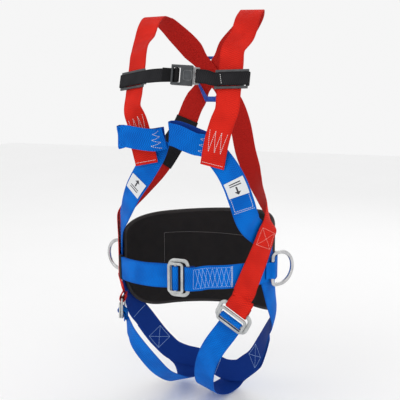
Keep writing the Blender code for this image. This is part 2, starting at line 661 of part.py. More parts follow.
def dorsal_plate():
    """Shield-shaped plastic plate; the crossed straps pass outward through its window."""
    middle = (PLATE_TOP_Z + PLATE_TIP_Z) / 2
    top, tip, turn = PLATE_TOP_Z - middle, PLATE_TIP_Z - middle, PLATE_SHOULDER_Z - middle
    half, inner = PLATE_HALF, PLATE_HALF - PLATE_SIDE_BAND
    rim = [(-half, top), (-half, turn), (-13, tip), (13, tip), (half, turn), (half, top)]
    hole = [(-inner, top - 6), (-inner, turn + 1), (-9, tip + PLATE_BAND + 2), (9, tip + PLATE_BAND + 2),
            (inner, turn + 1), (inner, top - 6)]
    return outline_plate("dorsal_plate", [rim, hole], PLATE_THICK,
                         placing((CROSS[0], CROSS[1], middle), (-1, 0, 0), (0, 0, 1), (0, 1, 0)),
                         blue_plastic(), 0.7)


def dorsal_ring():
    """Wire D-ring; the crossed straps run over its level bar, its arms pass beside the plate."""
    path = ring_path(DORSAL_RING_WIDTH, DORSAL_RING_DEPTH, DORSAL_WIRE, 4.5)
    bar = (CROSS[0], CROSS[1] - DORSAL_BAR_BEHIND, CROSS[2])
    return wire_ring("dorsal_ring", path, DORSAL_WIRE,
                     placing(bar, (0, 1, 0), (1, 0, 0), (0, 0, -1)), bright_steel())


def block(name, size, centre, right, up, outward):
    """A box from a primitive cube, placed by its own directions."""
    mesh = bpy.data.meshes.new(name)
    cube = bmesh.new()
    bmesh.ops.create_cube(cube, size=1.0)
    bmesh.ops.scale(cube, vec=Vector(size) * MM, verts=cube.verts)
    cube.to_mesh(mesh)
    cube.free()
    made = bpy.data.objects.new(name, mesh)
    made.matrix_world = placing(centre, right, up, outward)
    bpy.data.collections["safety_harness"].objects.link(made)
    return made


def combine(target, tool, operation):
    """Join a block to a solid, or cut it away, and keep the result."""
    change = target.modifiers.new("combine", "BOOLEAN")
    change.operation = operation
    change.solver = "EXACT"
    change.object = tool
    bpy.context.view_layer.update()
    mesh = bpy.data.meshes.new_from_object(target.evaluated_get(bpy.context.evaluated_depsgraph_get()))
    target.modifiers.clear()
    target.data = mesh
    bpy.data.objects.remove(tool)


def slider_end_bar(side):
    """Middle of the bar that the chest strap is sewn round."""
    right, high, outward = slider_axes(side)
    inner_wall = WEB / 2 + 1.2 + 3.0
    reach = inner_wall + SLIDER_SLOT + SLIDER_END_BAR / 2
    return (np.array([side * SLIDER_X, SLIDER_Y, SLIDER_Z]) + right * side * reach
            + outward * (SLIDER_DEEP / 2 + SLIDER_FRONT / 2))


def strap_slider(side, name):
    """Plastic slider: the shoulder strap runs between its front frame and its two back bars."""
    right, high, outward = slider_axes(side)
    centre = np.array([side * SLIDER_X, SLIDER_Y, SLIDER_Z])
    half_room = WEB / 2 + 1.2
    outer_end = half_room + 3.0 + SLIDER_SLOT + SLIDER_END_BAR
    inner_end = half_room + 3.0
    wide = outer_end + inner_end
    shift = side * (outer_end - inner_end) / 2
    front_at = centre + outward * (SLIDER_DEEP / 2 + SLIDER_FRONT / 2)
    slot_at = side * (half_room + 3.0 + SLIDER_SLOT / 2)
    open_high = SLIDER_HIGH - 8.0
    made = block(name, (wide, SLIDER_HIGH, SLIDER_FRONT), front_at + right * shift, right, high, outward)
    made.data.materials.append(dark_plastic())
    for along_by, size in ((0.0, 2 * half_room - 5.0), (slot_at, SLIDER_SLOT)):
        hole = block("hole", (size, open_high, 20.0), front_at + right * along_by, right, high, outward)
        combine(made, hole, "DIFFERENCE")
    bar_thick = 2.2
    for sign in (-1, 1):
        wall = block("wall", (2.7, SLIDER_HIGH - 13.0, 6.5),
                     centre + right * sign * (half_room + 1.45) - outward * 0.45, right, high, outward)
        combine(made, wall, "UNION")
    for sign in (-1, 1):
        bar = block("bar", (2 * half_room + 4.0, 5.0, bar_thick),
                    centre + high * sign * (SLIDER_HIGH / 2 - 9.5) - outward * (SLIDER_DEEP + bar_thick) / 2,
                    right, high, outward)
        combine(made, bar, "UNION")
    return made


# chest strap: from the two sliders to the buckle, in one gently bowed line

def chest_bow(share):
    """Middle of the chest strap between the slider fronts; share 0 is the right slider."""
    ends = {}
    for side in (-1, 1):
        right, high, outward = slider_axes(side)
        ends[side] = (np.array([side * SLIDER_X, SLIDER_Y, SLIDER_Z]) - right * side * 28.5
                      + outward * (SLIDER_DEEP / 2 + SLIDER_FRONT + THICK / 2 + 0.5))
    place = ends[-1] * (1 - share) + ends[1] * share
    bow = 4 * share * (1 - share)
    return place + np.array([0.0, -7.0 * bow, 5.0 * bow])


def chest_buckle_axes():
    """Middle of the chest buckle and its directions: along the strap, up and outward."""
    centre = chest_bow(CHEST_BUCKLE_SHARE)
    along = unit(chest_bow(CHEST_BUCKLE_SHARE + 0.05) - chest_bow(CHEST_BUCKLE_SHARE - 0.05))
    outward = unit(np.cross(along, (0.0, 0.12, 1.0)))
    return centre, along, np.cross(outward, along), outward


def slider_turn_stations(side):
    """The chest strap's run over a slider's front and round its end bar."""
    right, high, outward = slider_axes(side)
    bar = slider_end_bar(side)
    loop = math.hypot(SLIDER_FRONT, SLIDER_END_BAR) / 2 + THICK / 2 + 0.4
    front = SLIDER_FRONT / 2 + THICK / 2 + 0.5
    rows = [(-1.2, -loop, -1.6), (1.8, -loop * 0.85, -1.0)]
    rows += arc_rows(0.0, 0.0, loop, -35, 75, 5) + [(-4.5, front + 0.9, math.pi / 2), (-12.0, front, math.pi / 2)]
    turn = on_plane(bar, right * side, outward, rows)
    centre = np.array([side * SLIDER_X, SLIDER_Y, SLIDER_Z])
    lift = SLIDER_DEEP / 2 + SLIDER_FRONT + THICK / 2 + 0.5
    run = [at(*(centre + right * side * d + outward * lift), *outward) for d in (12.0, -4.0, -17.0, -28.5)]
    return turn + run


def right_chest_strap():
    """Long half: right slider to the adjuster bar of the buckle housing, and its tail."""
    centre, along, up, outward = chest_buckle_axes()
    stations = slider_turn_stations(-1)
    stations += [at(*chest_bow(share), *outward) for share in (0.12, 0.24)]
    rows = frame_side_rows(24.0, 40.0, LADDER_AT, 0.0, LADDER_LOOP, -4.2, -7.1)
    stations += on_plane(centre, -along, outward, rows)
    return ribbon("right_chest_strap", smooth_route(stations), CHEST_WEB, black_webbing())


def left_chest_strap():
    """Short half: left slider to the bar of the latch, sewn back on itself."""
    centre, along, up, outward = chest_buckle_axes()
    rows = ring_side_rows(LATCH_BAR_AT + 14.0, LATCH_BAR_AT + 16.0, LATCH_BAR_AT, 0.0, LATCH_LOOP, 0.6, -2.3)
    stations = slider_turn_stations(1) + on_plane(centre, along, outward, rows)
    return ribbon("left_chest_strap", smooth_route(stations), CHEST_WEB, black_webbing())


def chest_buckle_housing():
    """Receiving half: hollow body with side windows, and the adjuster bars on its other end."""
    centre, along, up, outward = chest_buckle_axes()

    def part(size, right_by, up_by=0.0, out_by=0.0):
        place = centre + along * right_by + up * up_by + outward * out_by
        return block("part", size, place, along, up, outward)

    body = part((38.0, 35.0, 11.0), -3.0)
    body.name = "chest_buckle_housing"
    body.data.materials.append(dark_plastic())
    inside = CHEST_WEB + 2.4
    half_ladder = LADDER_WIDE / 2 + 2.5
    combine(body, part((4.6, inside, 30.0), -LADDER_AT - half_ladder + 0.2), "DIFFERENCE")
    combine(body, part((5.6, inside, 30.0), -LADDER_AT + half_ladder + 0.5), "DIFFERENCE")
    combine(body, part((LADDER_WIDE + 8.0, inside, 6.0), -LADDER_AT, 0.0, LADDER_THICK / 2 + 3.0), "DIFFERENCE")
    combine(body, part((40.0, inside, 6.0), -LADDER_AT - 14.5, 0.0, -LADDER_THICK / 2 - 3.0), "DIFFERENCE")
    combine(body, part((20.0, 27.0, 5.6), 8.5), "DIFFERENCE")
    for sign in (-1, 1):
        combine(body, part((11.0, 10.0, 5.6), 5.5, sign * 16.0), "DIFFERENCE")
    return body


def chest_buckle_latch():
    """Entering half: cross plate, middle tongue and the bar that the short strap is sewn to."""
    centre, along, up, outward = chest_buckle_axes()

    def part(size, right_by, up_by=0.0, out_by=0.0):
        place = centre + along * right_by + up * up_by + outward * out_by
        return block("part", size, place, along, up, outward)

    plate = part((3.4, 30.0, 5.0), 18.2)
    plate.name = "chest_buckle_latch"
    plate.data.materials.append(dark_plastic())
    combine(plate, part((16.0, 5.0, 3.6), 9.0), "UNION")
    for sign in (-1, 1):
        combine(plate, part((11.4, 2.6, 4.0), 22.2, sign * 13.7), "UNION")
    combine(plate, part((LATCH_BAR, 28.0, LATCH_BAR), LATCH_BAR_AT), "UNION")
    return plate


def chest_buckle_arm(sign, name):
    """Squeeze arm of the latch, with the thumb pad that shows in the housing's side window."""
    centre, along, up, outward = chest_buckle_axes()
    pivot = centre + along * ARM_PIVOT_AT + up * sign * ARM_PIVOT_UP

    def part(size, right_by, up_by):
        return block("part", size, centre + along * right_by + up * sign * up_by, along, up, outward)

    arm = part((13.6, 2.8, 4.2), 7.8, ARM_PIVOT_UP)
    arm.name = name
    arm.data.materials.append(dark_plastic())
    combine(arm, part((8.4, 8.0, 4.2), 5.5, 13.6), "UNION")
    shift = placing(pivot, along, up, outward).inverted() @ arm.matrix_world
    arm.data.transform(shift)
    arm.matrix_world = placing(pivot, along, up, outward)
    return arm


def flat_tube(name, route, only, wide, deep, wall, surface):
    """A flat fabric tube round a strap: outer and inner rectangles carried along the route."""
    middle, normal, across = across_route(route)
    weight, offset = route[:, 6], route[:, 7]
    rows = []
    for w, d in ((wide + 2 * wall, deep + 2 * wall), (wide, deep)):
        for sx, sy in ((1, 1), (-1, 1), (-1, -1), (1, -1)):
            flat = pull_to_hip(middle + across * sx * w / 2, weight, offset)
            rows.append(flat + normal * sy * d / 2)
    points = np.stack(rows, axis=1)[only]
    count = len(points)
    faces = []
    for r in range(count - 1):
        for k in range(4):
            a, b = r * 8 + k, r * 8 + (k + 1) % 4
            faces.append((a, a + 8, b + 8, b))
            faces.append((a + 4, b + 4, b + 12, a + 12))
    for k in range(4):
        a, b = k, (k + 1) % 4
        faces.append((a, b, b + 4, a + 4))
        last = (count - 1) * 8
        faces.append((last + a, last + a + 4, last + b + 4, last + b))
    return mesh_object(name, points.reshape(-1, 3), faces, surface)


def chest_loop(side, name):
    """Textile attachment loop, folded from webbing and sewn in at the body strap's top end."""
    if side < 0:
        inner = [(-28, -98.2, 246), (-35, -98.8, 245), (-40, -102, 244), (-43, -107, 243.5),
                 (-48, -111.2, 243), (-58, -112.6, 243), (-80, -113.5, 245), (-99, -115, 248)]
        tip, radius = (-104, -121, 249), 6.0
        outer = [(-97, -128, 249), (-76, -130, 247), (-56, -126, 244), (-42, -115, 242),
                 (-35, -105.5, 243), (-28, -102.4, 245)]
    else:
        inner = [(64, -98.5, 235), (52, -98.3, 238), (40, -98.2, 242), (22, -101, 249), (4, -105, 256)]
        tip, radius = (-6, -113.5, 258), 7.0
        outer = [(4, -121, 251), (22, -119, 243), (34, -110, 237), (42, -102.9, 235),
                 (52, -101.7, 233), (64, -101.7, 230)]
    stations = [at(x, y, z, 0, 1, 0) for x, y, z in inner]
    for k in range(5):
        turn = math.radians(60 - 120 * k / 4)
        place = (tip[0] - radius * math.cos(turn), tip[1] + radius * math.sin(turn), tip[2] - k)
        stations.append(at(*place, -math.cos(turn), math.sin(turn), 0))
    stations += [at(x, y, z, 0, -1, 0) for x, y, z in outer]
    return ribbon(name, smooth_route(stations), 40.0, blue_webbing())


def build():
    """Every piece of the harness, each a named object."""
    for old in list(bpy.data.objects):
        bpy.data.objects.remove(old)
    group = bpy.data.collections.new("safety_harness")
    bpy.context.scene.collection.children.link(group)

    left_red = left_shoulder_route()
    seat = seat_route()
    ribbon("right_shoulder_strap", right_shoulder_route(), WEB, red_webbing(), columns=4, narrow=GATHERED)
    ribbon("left_shoulder_strap", left_red, WEB, red_webbing(), columns=4, narrow=GATHERED)
    ribbon("seat_strap", seat, WEB, blue_webbing(), columns=4)
    belt = belt_route()
    ribbon("belt_webbing", belt, WEB, blue_webbing())
    lumbar_pad()
    pass_through_buckle("belt_buckle", *BELT_BUCKLE)
    for side, word in ((-1, "right"), (1, "left")):
        ribbon(word + "_thigh_strap", thigh_route(side, seat), WEB, blue_webbing(), columns=4)
        pass_through_buckle(word + "_thigh_buckle", *THIGH_BUCKLES[side])
        side_ring(side, word + "_side_ring")
        ring_tab(side, word + "_ring_tab")
        strap_slider(side, word + "_strap_slider")
        chest_loop(side, word + "_chest_loop")
    right_chest_strap()
    left_chest_strap()
    chest_buckle_housing()
    chest_buckle_latch()
    chest_buckle_arm(1, "chest_buckle_upper_arm")
    chest_buckle_arm(-1, "chest_buckle_lower_arm")
    dorsal_plate()
    dorsal_ring()
    covered = rows_between(left_red, share_at(left_red, -52, 89, 272), share_at(left_red, -108, 74, 176))
    flat_tube("strap_sleeve", left_red, covered, WEB + 1.6, THICK + 2.8, 0.9, black_webbing())
    kept = [hip(angle, belt_height(angle), (BELT + OVER_BELT) / 2) for angle in (-56.0, -59.0, -62.0)]
    flat_tube("belt_keeper", smooth_route(kept), slice(None), WEB + 2.0, THICK + LAYER + 1.4, 1.1,
              black_webbing())
    for word, place in (("left", (109, -100, 160)), ("right", (-90, -93, 153))):
        middle = share_at(seat, *place)
        rows = rows_between(seat, middle - LABEL_HALF, middle + LABEL_HALF)
        ribbon(word + "_label", seat, 38.0, label_cloth(), thick=0.6, lift=THICK / 2 + 0.8, only=rows)


build()
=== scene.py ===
"""Looks of a two-colour full-body harness: webbing, stitching, pad, steel and moulded parts.

Axes: +Z up, the front of the wearer faces -Y, +X is the wearer's left. Lengths are in
millimetres until a mesh is made; meshes are in metres.
"""
import math

import bmesh
import bpy
import numpy as np
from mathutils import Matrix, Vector


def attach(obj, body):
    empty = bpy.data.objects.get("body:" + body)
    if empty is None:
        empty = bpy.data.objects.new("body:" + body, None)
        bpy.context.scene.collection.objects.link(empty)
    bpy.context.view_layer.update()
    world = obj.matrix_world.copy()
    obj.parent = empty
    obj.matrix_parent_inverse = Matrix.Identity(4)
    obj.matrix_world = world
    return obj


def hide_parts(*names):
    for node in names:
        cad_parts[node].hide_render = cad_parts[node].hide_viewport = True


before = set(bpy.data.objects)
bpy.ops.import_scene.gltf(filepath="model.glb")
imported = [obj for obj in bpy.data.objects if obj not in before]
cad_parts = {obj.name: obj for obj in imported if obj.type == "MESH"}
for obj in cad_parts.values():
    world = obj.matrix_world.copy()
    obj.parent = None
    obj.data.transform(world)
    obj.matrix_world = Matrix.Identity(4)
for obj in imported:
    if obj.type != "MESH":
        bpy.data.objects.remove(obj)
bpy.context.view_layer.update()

MM = 0.001
STEP = 4.0                  # longest stretch between two rows of a strap
HIP_STEP = 3.0              # the same, where a strap bends round the hip

# webbing
WEB = 45.0                  # width of the load-bearing webbing
CHEST_WEB = 24.0            # width of the chest strap
THICK = 2.0                 # thickness of every webbing
GAP = 0.9                   # air between two layers
LAYER = THICK + GAP
COLUMNS = 15                # points across a strap
THIGH_TAIL, BELT_TAIL = 62.0, 172.0     # loose ends past the adjuster bars; their back faces show the outer colour, not the painted shade
LOOP_WIDE, LABEL_WIDE = 40.0, 38.0

LABEL_HALF = 0.0125         # half a label, as a share of the seat strap
LABEL_LONG = 30.0           # shown length of a sewn label

# waist pad: outer face is an ellipse round the torso axis
PAD_HALF_X = 157.0
PAD_HALF_Y = 108.0
PAD_CENTRE_Y = -3.0
PAD_THICK = 8.0
PAD_FRONT_ANGLE = {-1: 78.0, 1: 74.0}
PAD_TOP_BACK, PAD_TOP_END = 82.0, 46.0
PAD_BOTTOM_BACK, PAD_BOTTOM_END = -128.0, -50.0
BELT_TILT = 0.05            # the belt sits a little lower on the wearer's right
PAD_TILT = 0.08
PAD_SEWN_IN = 13.0          # stitch line inside the pad's rim
PAD_SEWN_FROM = 8           # columns of the pad left unsewn at its ends
PAD_ROUND = 720.0           # length of the pad round the waist
BELT_FRONT_Z, BELT_BACK_Z = -8.0, -20.0

# distance of each layer's middle from the pad's outer face
UNDER_BELT = 1.6            # body strap
BELT = UNDER_BELT + LAYER
OVER_BELT = BELT + LAYER    # sewn tab of a side ring
OUTERMOST = OVER_BELT + LAYER

# pass-through buckles: an outer ring and an inner three-bar frame
RING_LONG, RING_SHORT, RING_BAND, RING_THICK = 72.0, 42.0, 7.0, 4.0
FRAME_LONG, FRAME_SHORT, FRAME_BAND, FRAME_THICK = 59.0, 31.0, 5.2, 3.6
FRAME_BAR = 5.0
FRAME_SHIFT = 5.2           # frame centre from ring centre, toward the adjustable side
FRAME_LIFT = RING_THICK / 2 + FRAME_THICK / 2 + GAP
RING_LOOP = math.hypot(RING_BAND, RING_THICK) / 2 + THICK / 2 + 0.4
FRAME_LOOP = math.hypot(FRAME_BAR, FRAME_THICK) / 2 + THICK / 2 + 0.4
RING_BAR_AT = RING_SHORT / 2 - RING_BAND / 2
TAIL_DEPTH = RING_THICK / 2 + THICK / 2 + 0.9
MAIN_DEPTH = TAIL_DEPTH + LAYER + 0.2

# wire rings
WIRE = 7.5
SIDE_RING_HEIGHT, SIDE_RING_DEPTH = 70.0, 58.0
DORSAL_RING_WIDTH, DORSAL_RING_DEPTH, DORSAL_WIRE = 79.0, 58.0, 7.0
SIDE_RING_ANGLE = {-1: 97.0, 1: 75.0}
SIDE_RING_OUTWARD = {-1: 80.0, 1: 14.0}
SIDE_RING_RAISED = {-1: 6.0, 1: 3.0}
TAB_WIDE = 32.0             # webbing tab round a side ring's bar

# back plate, where the two shoulder straps cross
CROSS = (0.0, 86.0, 362.0)          # middle of the plate's window
CROSSING_AT = (-40.0, -23.0, -18.0, -13.0, 0.0, 13.0, 18.0, 23.0, 36.0)
CROSS_LEAN = (0.61, 0.79)           # the straps cross the window at this slant
DORSAL_BAR_BEHIND = 8.9             # bar of the dorsal ring, body side of the plate
GATHERED = 33.0                     # width of the shoulder straps in the window

# chest strap hardware
SLIDER_Z, SLIDER_X, SLIDER_Y = 349.0, 90.0, -87.0
SLIDER_TURN = {-1: math.radians(-24.0), 1: math.radians(-4.0)}
STRAP_LEAN = math.radians(18.0)     # the shoulder straps lean back here
SLIDER_DEEP = THICK + 1.6           # room for the strap between the front and the back bars
SLIDER_FRONT = 3.0                  # thickness of the front frame
SLIDER_SLOT = 4.8                   # slot for the chest strap, beside the outer bar
SLIDER_END_BAR = 3.4

# chest buckle: distances from its middle along the chest strap
CHEST_BUCKLE_SHARE = 0.60            # share of the chest strap's run where the buckle sits
LADDER_AT, LADDER_WIDE, LADDER_THICK = 12.6, 3.2, 3.4
LADDER_LOOP = math.hypot(LADDER_WIDE, LADDER_THICK) / 2 + THICK / 2 + 0.4
LATCH_BAR_AT, LATCH_BAR = 25.6, 3.4
LATCH_LOOP = math.hypot(LATCH_BAR, LATCH_BAR) / 2 + THICK / 2 + 0.4

# share of the seat strap that each thigh strap is sewn to, from its far end to its near end
SEWN_TO_SEAT = {-1: (0.352, 0.405), 1: (0.665, 0.59)}
SEWN_LIFT = LAYER + 0.7        # over the seat strap, at the sewn end
SEWN_PARTING = 3.4             # more than that where the two straps part


def unit(vector):
    """The vector at length one."""
    return np.asarray(vector, float) / np.linalg.norm(vector)


def at(x, y, z, nx, ny, nz):
    """A free station: a place and the way the webbing's outer face looks."""
    return np.array([x, y, z, nx, ny, nz, 0.0, 0.0])


def ellipse_at(angle, offset):
    """Point and outward normal on the waist ellipse; angle 0 is the front, 90 the wearer's left."""
    turn = np.radians(angle)
    normal = np.array([np.sin(turn) / PAD_HALF_X, -np.cos(turn) / PAD_HALF_Y])
    normal = normal / np.linalg.norm(normal, axis=0)
    point = np.array([PAD_HALF_X * np.sin(turn), PAD_CENTRE_Y - PAD_HALF_Y * np.cos(turn)])
    return point + normal * offset, normal


def hip(angle, z, offset):
    """A station that lies round the waist pad, at an angle, a height and a distance outside it."""
    point, normal = ellipse_at(angle, offset)
    return np.array([*point, z, *normal, 0.0, 1.0, offset])


def on_plane(centre, along, normal, rows):
    """Stations from (distance, depth, normal angle) rows drawn in the plane of a buckle."""
    made = []
    for distance, depth, look in rows:
        place = centre + along * distance + normal * depth
        facing = along * math.cos(look) + normal * math.sin(look)
        made.append(np.array([*place, *facing, 0.0, 0.0]))
    return made


def arc_rows(at_distance, at_depth, radius, start, end, pieces):
    """Rows round a bar; each looks straight away from the bar's middle."""
    turns = [math.radians(start + (end - start) * k / pieces) for k in range(pieces + 1)]
    return [(at_distance + radius * math.cos(t), at_depth + radius * math.sin(t), t) for t in turns]


def ring_side_rows(main_from, return_to, bar_at, lift, loop, main_depth, inner_depth):
    """Webbing sewn round a buckle's end bar: outer run in, round the bar, inner run back."""
    up = math.pi / 2
    rows = [(main_from, main_depth, up), (bar_at + 1.45 * loop, lift + 0.62 * loop, up - 0.35)]
    rows += arc_rows(bar_at, lift, loop, 75, 285, 9)
    rows += [(bar_at + 1.6 * loop, min(lift - 1.05 * loop, inner_depth + 0.6), -up)]
    return rows + [(return_to, inner_depth, -up)]


def frame_side_rows(main_from, tail_to, bar_at, lift, loop, tail_depth, main_depth):
    """Webbing round an adjuster's bar: inner run in, round the bar, outer tail back."""
    up = math.pi / 2
    edge = bar_at + loop
    rows = [(main_from, main_depth, -up), (bar_at + 1.65 * loop, main_depth + 0.1, -up - 0.1)]
    rows += [(bar_at + 0.55 * loop, main_depth + 2.0, -up - 0.6)]
    rows += arc_rows(bar_at, lift, loop, 250, 0, 11)
    rows += [(edge + 0.1, lift * 0.6 + tail_depth * 0.4, 0.0)]
    rows += [(edge + 0.9, lift * 0.25 + tail_depth * 0.75, 0.35), (edge + 2.4, tail_depth + 0.6, 1.0)]
    rows += [(edge + 5.0, tail_depth - 0.05, up), (tail_to, tail_depth, up)]
    return [(distance, depth, look + math.pi) for distance, depth, look in rows]


def big_ring_rows(main_from, return_to):
    """Rows of the webbing sewn round a pass-through buckle's ring."""
    return ring_side_rows(main_from, return_to, RING_BAR_AT, 0.0, RING_LOOP, -TAIL_DEPTH, -MAIN_DEPTH)


def big_frame_rows(main_from, tail_to):
    """Rows of the webbing round the middle bar of a pass-through buckle's frame."""
    return frame_side_rows(main_from, tail_to, FRAME_SHIFT, FRAME_LIFT, FRAME_LOOP, -TAIL_DEPTH, -MAIN_DEPTH)


def smooth_route(stations):
    """Catmull-Rom curve through the stations, cut into stretches no longer than STEP."""
    rows = np.array(stations)
    rows = np.vstack([2 * rows[0] - rows[1], rows, 2 * rows[-1] - rows[-2]])
    knots = np.concatenate([[0.0], np.cumsum(np.linalg.norm(np.diff(rows[:, :3], axis=0), axis=1) ** 0.5)])
    made = []
    for k in range(1, len(rows) - 2):
        length = np.linalg.norm(rows[k + 1, :3] - rows[k, :3])
        step_length = HIP_STEP if rows[k, 6] + rows[k + 1, 6] > 0 else STEP
        cuts = max(1, math.ceil(length / step_length))
        for step in range(cuts):
            t = knots[k] + (knots[k + 1] - knots[k]) * step / cuts
            made.append(blend_rows(rows[k - 1:k + 3], knots[k - 1:k + 3], t))
    made.append(rows[-2])
    return np.array(made)


def blend_rows(four, when, t):
    """One point of a centripetal Catmull-Rom stretch."""
    def mix(a, b, ta, tb):
        """Straight blend of two rows at t."""
        return a * ((tb - t) / (tb - ta)) + b * ((t - ta) / (tb - ta))
    first = [mix(four[i], four[i + 1], when[i], when[i + 1]) for i in range(3)]
    second = [mix(first[i], first[i + 1], when[i], when[i + 2]) for i in range(2)]
    place = mix(second[0], second[1], when[1], when[2])
    share = (t - when[1]) / (when[2] - when[1])
    place[6:] = four[1][6:] * (1 - share) + four[2][6:] * share
    if four[1][6] * four[2][6] == 0:
        place[7] = max(four[1][7], four[2][7])
    return place


def across_route(route, lift=0.0):
    """Middle line, outward normal and across direction of every row of a route."""
    middle = route[:, :3]
    along = np.gradient(middle, axis=0)
    along /= np.linalg.norm(along, axis=1)[:, None]
    normal = route[:, 3:6] - along * np.sum(route[:, 3:6] * along, axis=1)[:, None]
    normal /= np.linalg.norm(normal, axis=1)[:, None]
    across = np.cross(along, normal)
    return middle + normal * lift, normal, across


def pull_to_hip(points, weight, offset):
    """Pull points on to the waist ellipse, at the given distance outside it."""
    angle = np.arctan2(points[..., 0] / PAD_HALF_X, -(points[..., 1] - PAD_CENTRE_Y) / PAD_HALF_Y)
    flat, _ = ellipse_at(np.degrees(angle), offset)
    target = points.copy()
    target[..., 0] = flat[0]
    target[..., 1] = flat[1]
    share = weight[..., None]
    share = share * share * (3 - 2 * share)
    return points * (1 - share) + target * share


def gathered_width(route, width, narrow):
    """Width of every row: narrower where the strap is gathered in the back plate's window."""
    away = np.linalg.norm(route[:, :3] - np.array(CROSS), axis=1)
    share = np.clip((away - 30.0) / 34.0, 0.0, 1.0)
    share = share * share * (3 - 2 * share)
    return narrow * (1 - share) + width * share


def rows_between(route, start, end):
    """The numbers of a route's rows between two shares of its length."""
    length = np.concatenate([[0.0], np.cumsum(np.linalg.norm(np.diff(route[:, :3], axis=0), axis=1))])
    share = length / length[-1]
    return np.flatnonzero((share >= start) & (share <= end))


def share_at(route, x, y, z):
    """Share of a route's length that lies nearest to a place."""
    length = np.concatenate([[0.0], np.cumsum(np.linalg.norm(np.diff(route[:, :3], axis=0), axis=1))])
    nearest = np.argmin(np.linalg.norm(route[:, :3] - np.array([x, y, z]), axis=1))
    return length[nearest] / length[-1]


def buckle_axes(normal, down):
    """Right-handed axes of a buckle: along the strap, across it (the bars) and outward."""
    outward = unit(normal)
    along = unit(np.asarray(down, float) - outward * np.dot(down, outward))
    return along, np.cross(outward, along), outward


THIGH_BUCKLES = {
    -1: (np.array([-141.7, -54.0, -103.0]), buckle_axes((-0.93, -0.36, 0.0), (0.05, -0.18, -0.98))),
    1: (np.array([103.0, -96.0, -81.0]), buckle_axes((-0.2, -0.98, -0.05), (-0.45, 0.12, -0.89))),
}
BELT_BUCKLE = (np.array([6.0, PAD_CENTRE_Y - PAD_HALF_Y - BELT - MAIN_DEPTH + 1.0, BELT_FRONT_Z]),
               buckle_axes((0.0, -1.0, 0.0), (-1.0, 0.0, 0.0)))


def slider_axes(side):
    """Directions at a slider: across the strap, up along it and outward to the front."""
    turn = SLIDER_TURN[side]
    high = np.array([0.0, math.sin(STRAP_LEAN), math.cos(STRAP_LEAN)])
    forward = np.array([0.0, -math.cos(STRAP_LEAN), math.sin(STRAP_LEAN)])
    right = np.array([1.0, 0.0, 0.0])
    outward = forward * math.cos(turn) + right * math.sin(turn)
    return right * math.cos(turn) - forward * math.sin(turn), high, outward


def front_stations(side):
    """Chest end of a shoulder strap up to the top of the shoulder."""
    _, high, look = slider_axes(side)
    turned = math.tan(SLIDER_TURN[side])
    stations = [at(side * 63, -103, 197, 0, -1, 0), at(side * 72, -106.5, 240, 0, -1, 0),
                at(side * 81, -104, 274, turned / 2, -0.99, 0.12)]
    for shift in (-54, -27, 0, 27, 54):
        place = np.array([side * SLIDER_X, SLIDER_Y, SLIDER_Z]) + high * shift
        stations.append(at(*place, *look))
    return stations


def shoulder_top(side, x, lift):
    """Over the shoulder; the webbing's face turns from the front to the top."""
    return [at(x - side * 2, -40, 426 + lift * 0.3, side * 0.18, -0.75, 0.6),
            at(x, -12, 455 + lift * 0.8, side * 0.1, -0.4, 0.9), at(x, 20, 471 + lift, 0, 0.05, 1),
            at(x - side * 8, 47, 463 + lift, 0, 0.6, 0.8)]


def crossing(side, depths):
    """Stations of one shoulder strap through the back plate's window, on its slanting line."""
    x, y, z = CROSS
    return [at(x - side * CROSS_LEAN[0] * d, y + depth, z - CROSS_LEAN[1] * d, 0, 1, 0)
            for d, depth in zip(CROSSING_AT, depths)]


def right_shoulder_route():
    """Wearer's right shoulder, across the back, round the left hip to the left thigh ring."""
    stations = front_stations(-1) + shoulder_top(-1, -94.0, 0.0) + [
        at(-66, 59, 442, 0, 0.9, 0.45), at(-42, 68, 417, 0, 1, 0.1)]
    stations += crossing(-1, (-8.4, -5.4, -4.6, -4.0, -2.8, -1.8, 0.5, 3.0, 4.6)) + [
        at(34, 91, 316, 0, 1, 0), at(46, 91, 298, 0, 1, 0),
        at(61, 88, 262, 0.05, 1, 0), at(75, 84, 205, 0.12, 1, 0), at(92, 74, 166, 0.35, 0.9, 0),
        at(108, 54, 142, 0.65, 0.75, 0), at(124, 26, 124, 0.9, 0.45, 0), at(139, 0, 110, 1, 0.1, 0),
        at(152, -29, 95, 0.95, -0.25, 0), hip(69, 72, OUTERMOST + 1.0), hip(65, 50, OUTERMOST),
        hip(60, 25, OUTERMOST), hip(55, 0, OUTERMOST), hip(51, -22, OUTERMOST),
        hip(47.5, -40, OUTERMOST + 2)]
    centre, (along, _, outward) = THIGH_BUCKLES[1]
    stations += on_plane(centre, -along, outward, big_ring_rows(38.0, 30.0))
    return smooth_route(stations)


def left_shoulder_route():
    """Wearer's left shoulder, across the back, round the right hip to the right thigh ring."""
    stations = front_stations(1) + shoulder_top(1, 101.0, 6.0) + [
        at(72, 62, 442, 0, 0.88, 0.45), at(43, 72, 415, 0, 1, 0.1)]
    stations += crossing(1, (-5.4, -2.9, -0.7, 1.8, 2.8, 4.6, 5.2, 6.0, 7.0)) + [
        at(-31, 93, 318, 0, 1, 0), at(-43, 93, 298, 0, 1, 0),
        at(-60, 89, 256, -0.1, 1, 0), at(-88, 84, 212, -0.3, 1, 0), at(-113, 71, 168, -0.6, 0.8, 0),
        at(-132, 44, 136, -0.85, 0.5, 0), at(-144, 16, 112, -0.98, 0.15, 0),
        at(-154, -6, 90, -1, -0.05, 0), hip(-82, 66, OVER_BELT + 1.0), hip(-80.5, 40, OVER_BELT),
        hip(-78.5, 14, OVER_BELT), hip(-77, -10, OVER_BELT), hip(-77, -30, OVER_BELT + 0.4),
        hip(-78.5, -43, OVER_BELT + 1.2), at(-156, -35.5, -57, -0.95, -0.33, 0)]
    centre, (along, _, outward) = THIGH_BUCKLES[-1]
    rows = ring_side_rows(31.0, 27.0, RING_BAR_AT, 0.0, RING_LOOP, -2.0, -6.0)
    stations += on_plane(centre, -along, outward, rows)
    return smooth_route(stations)


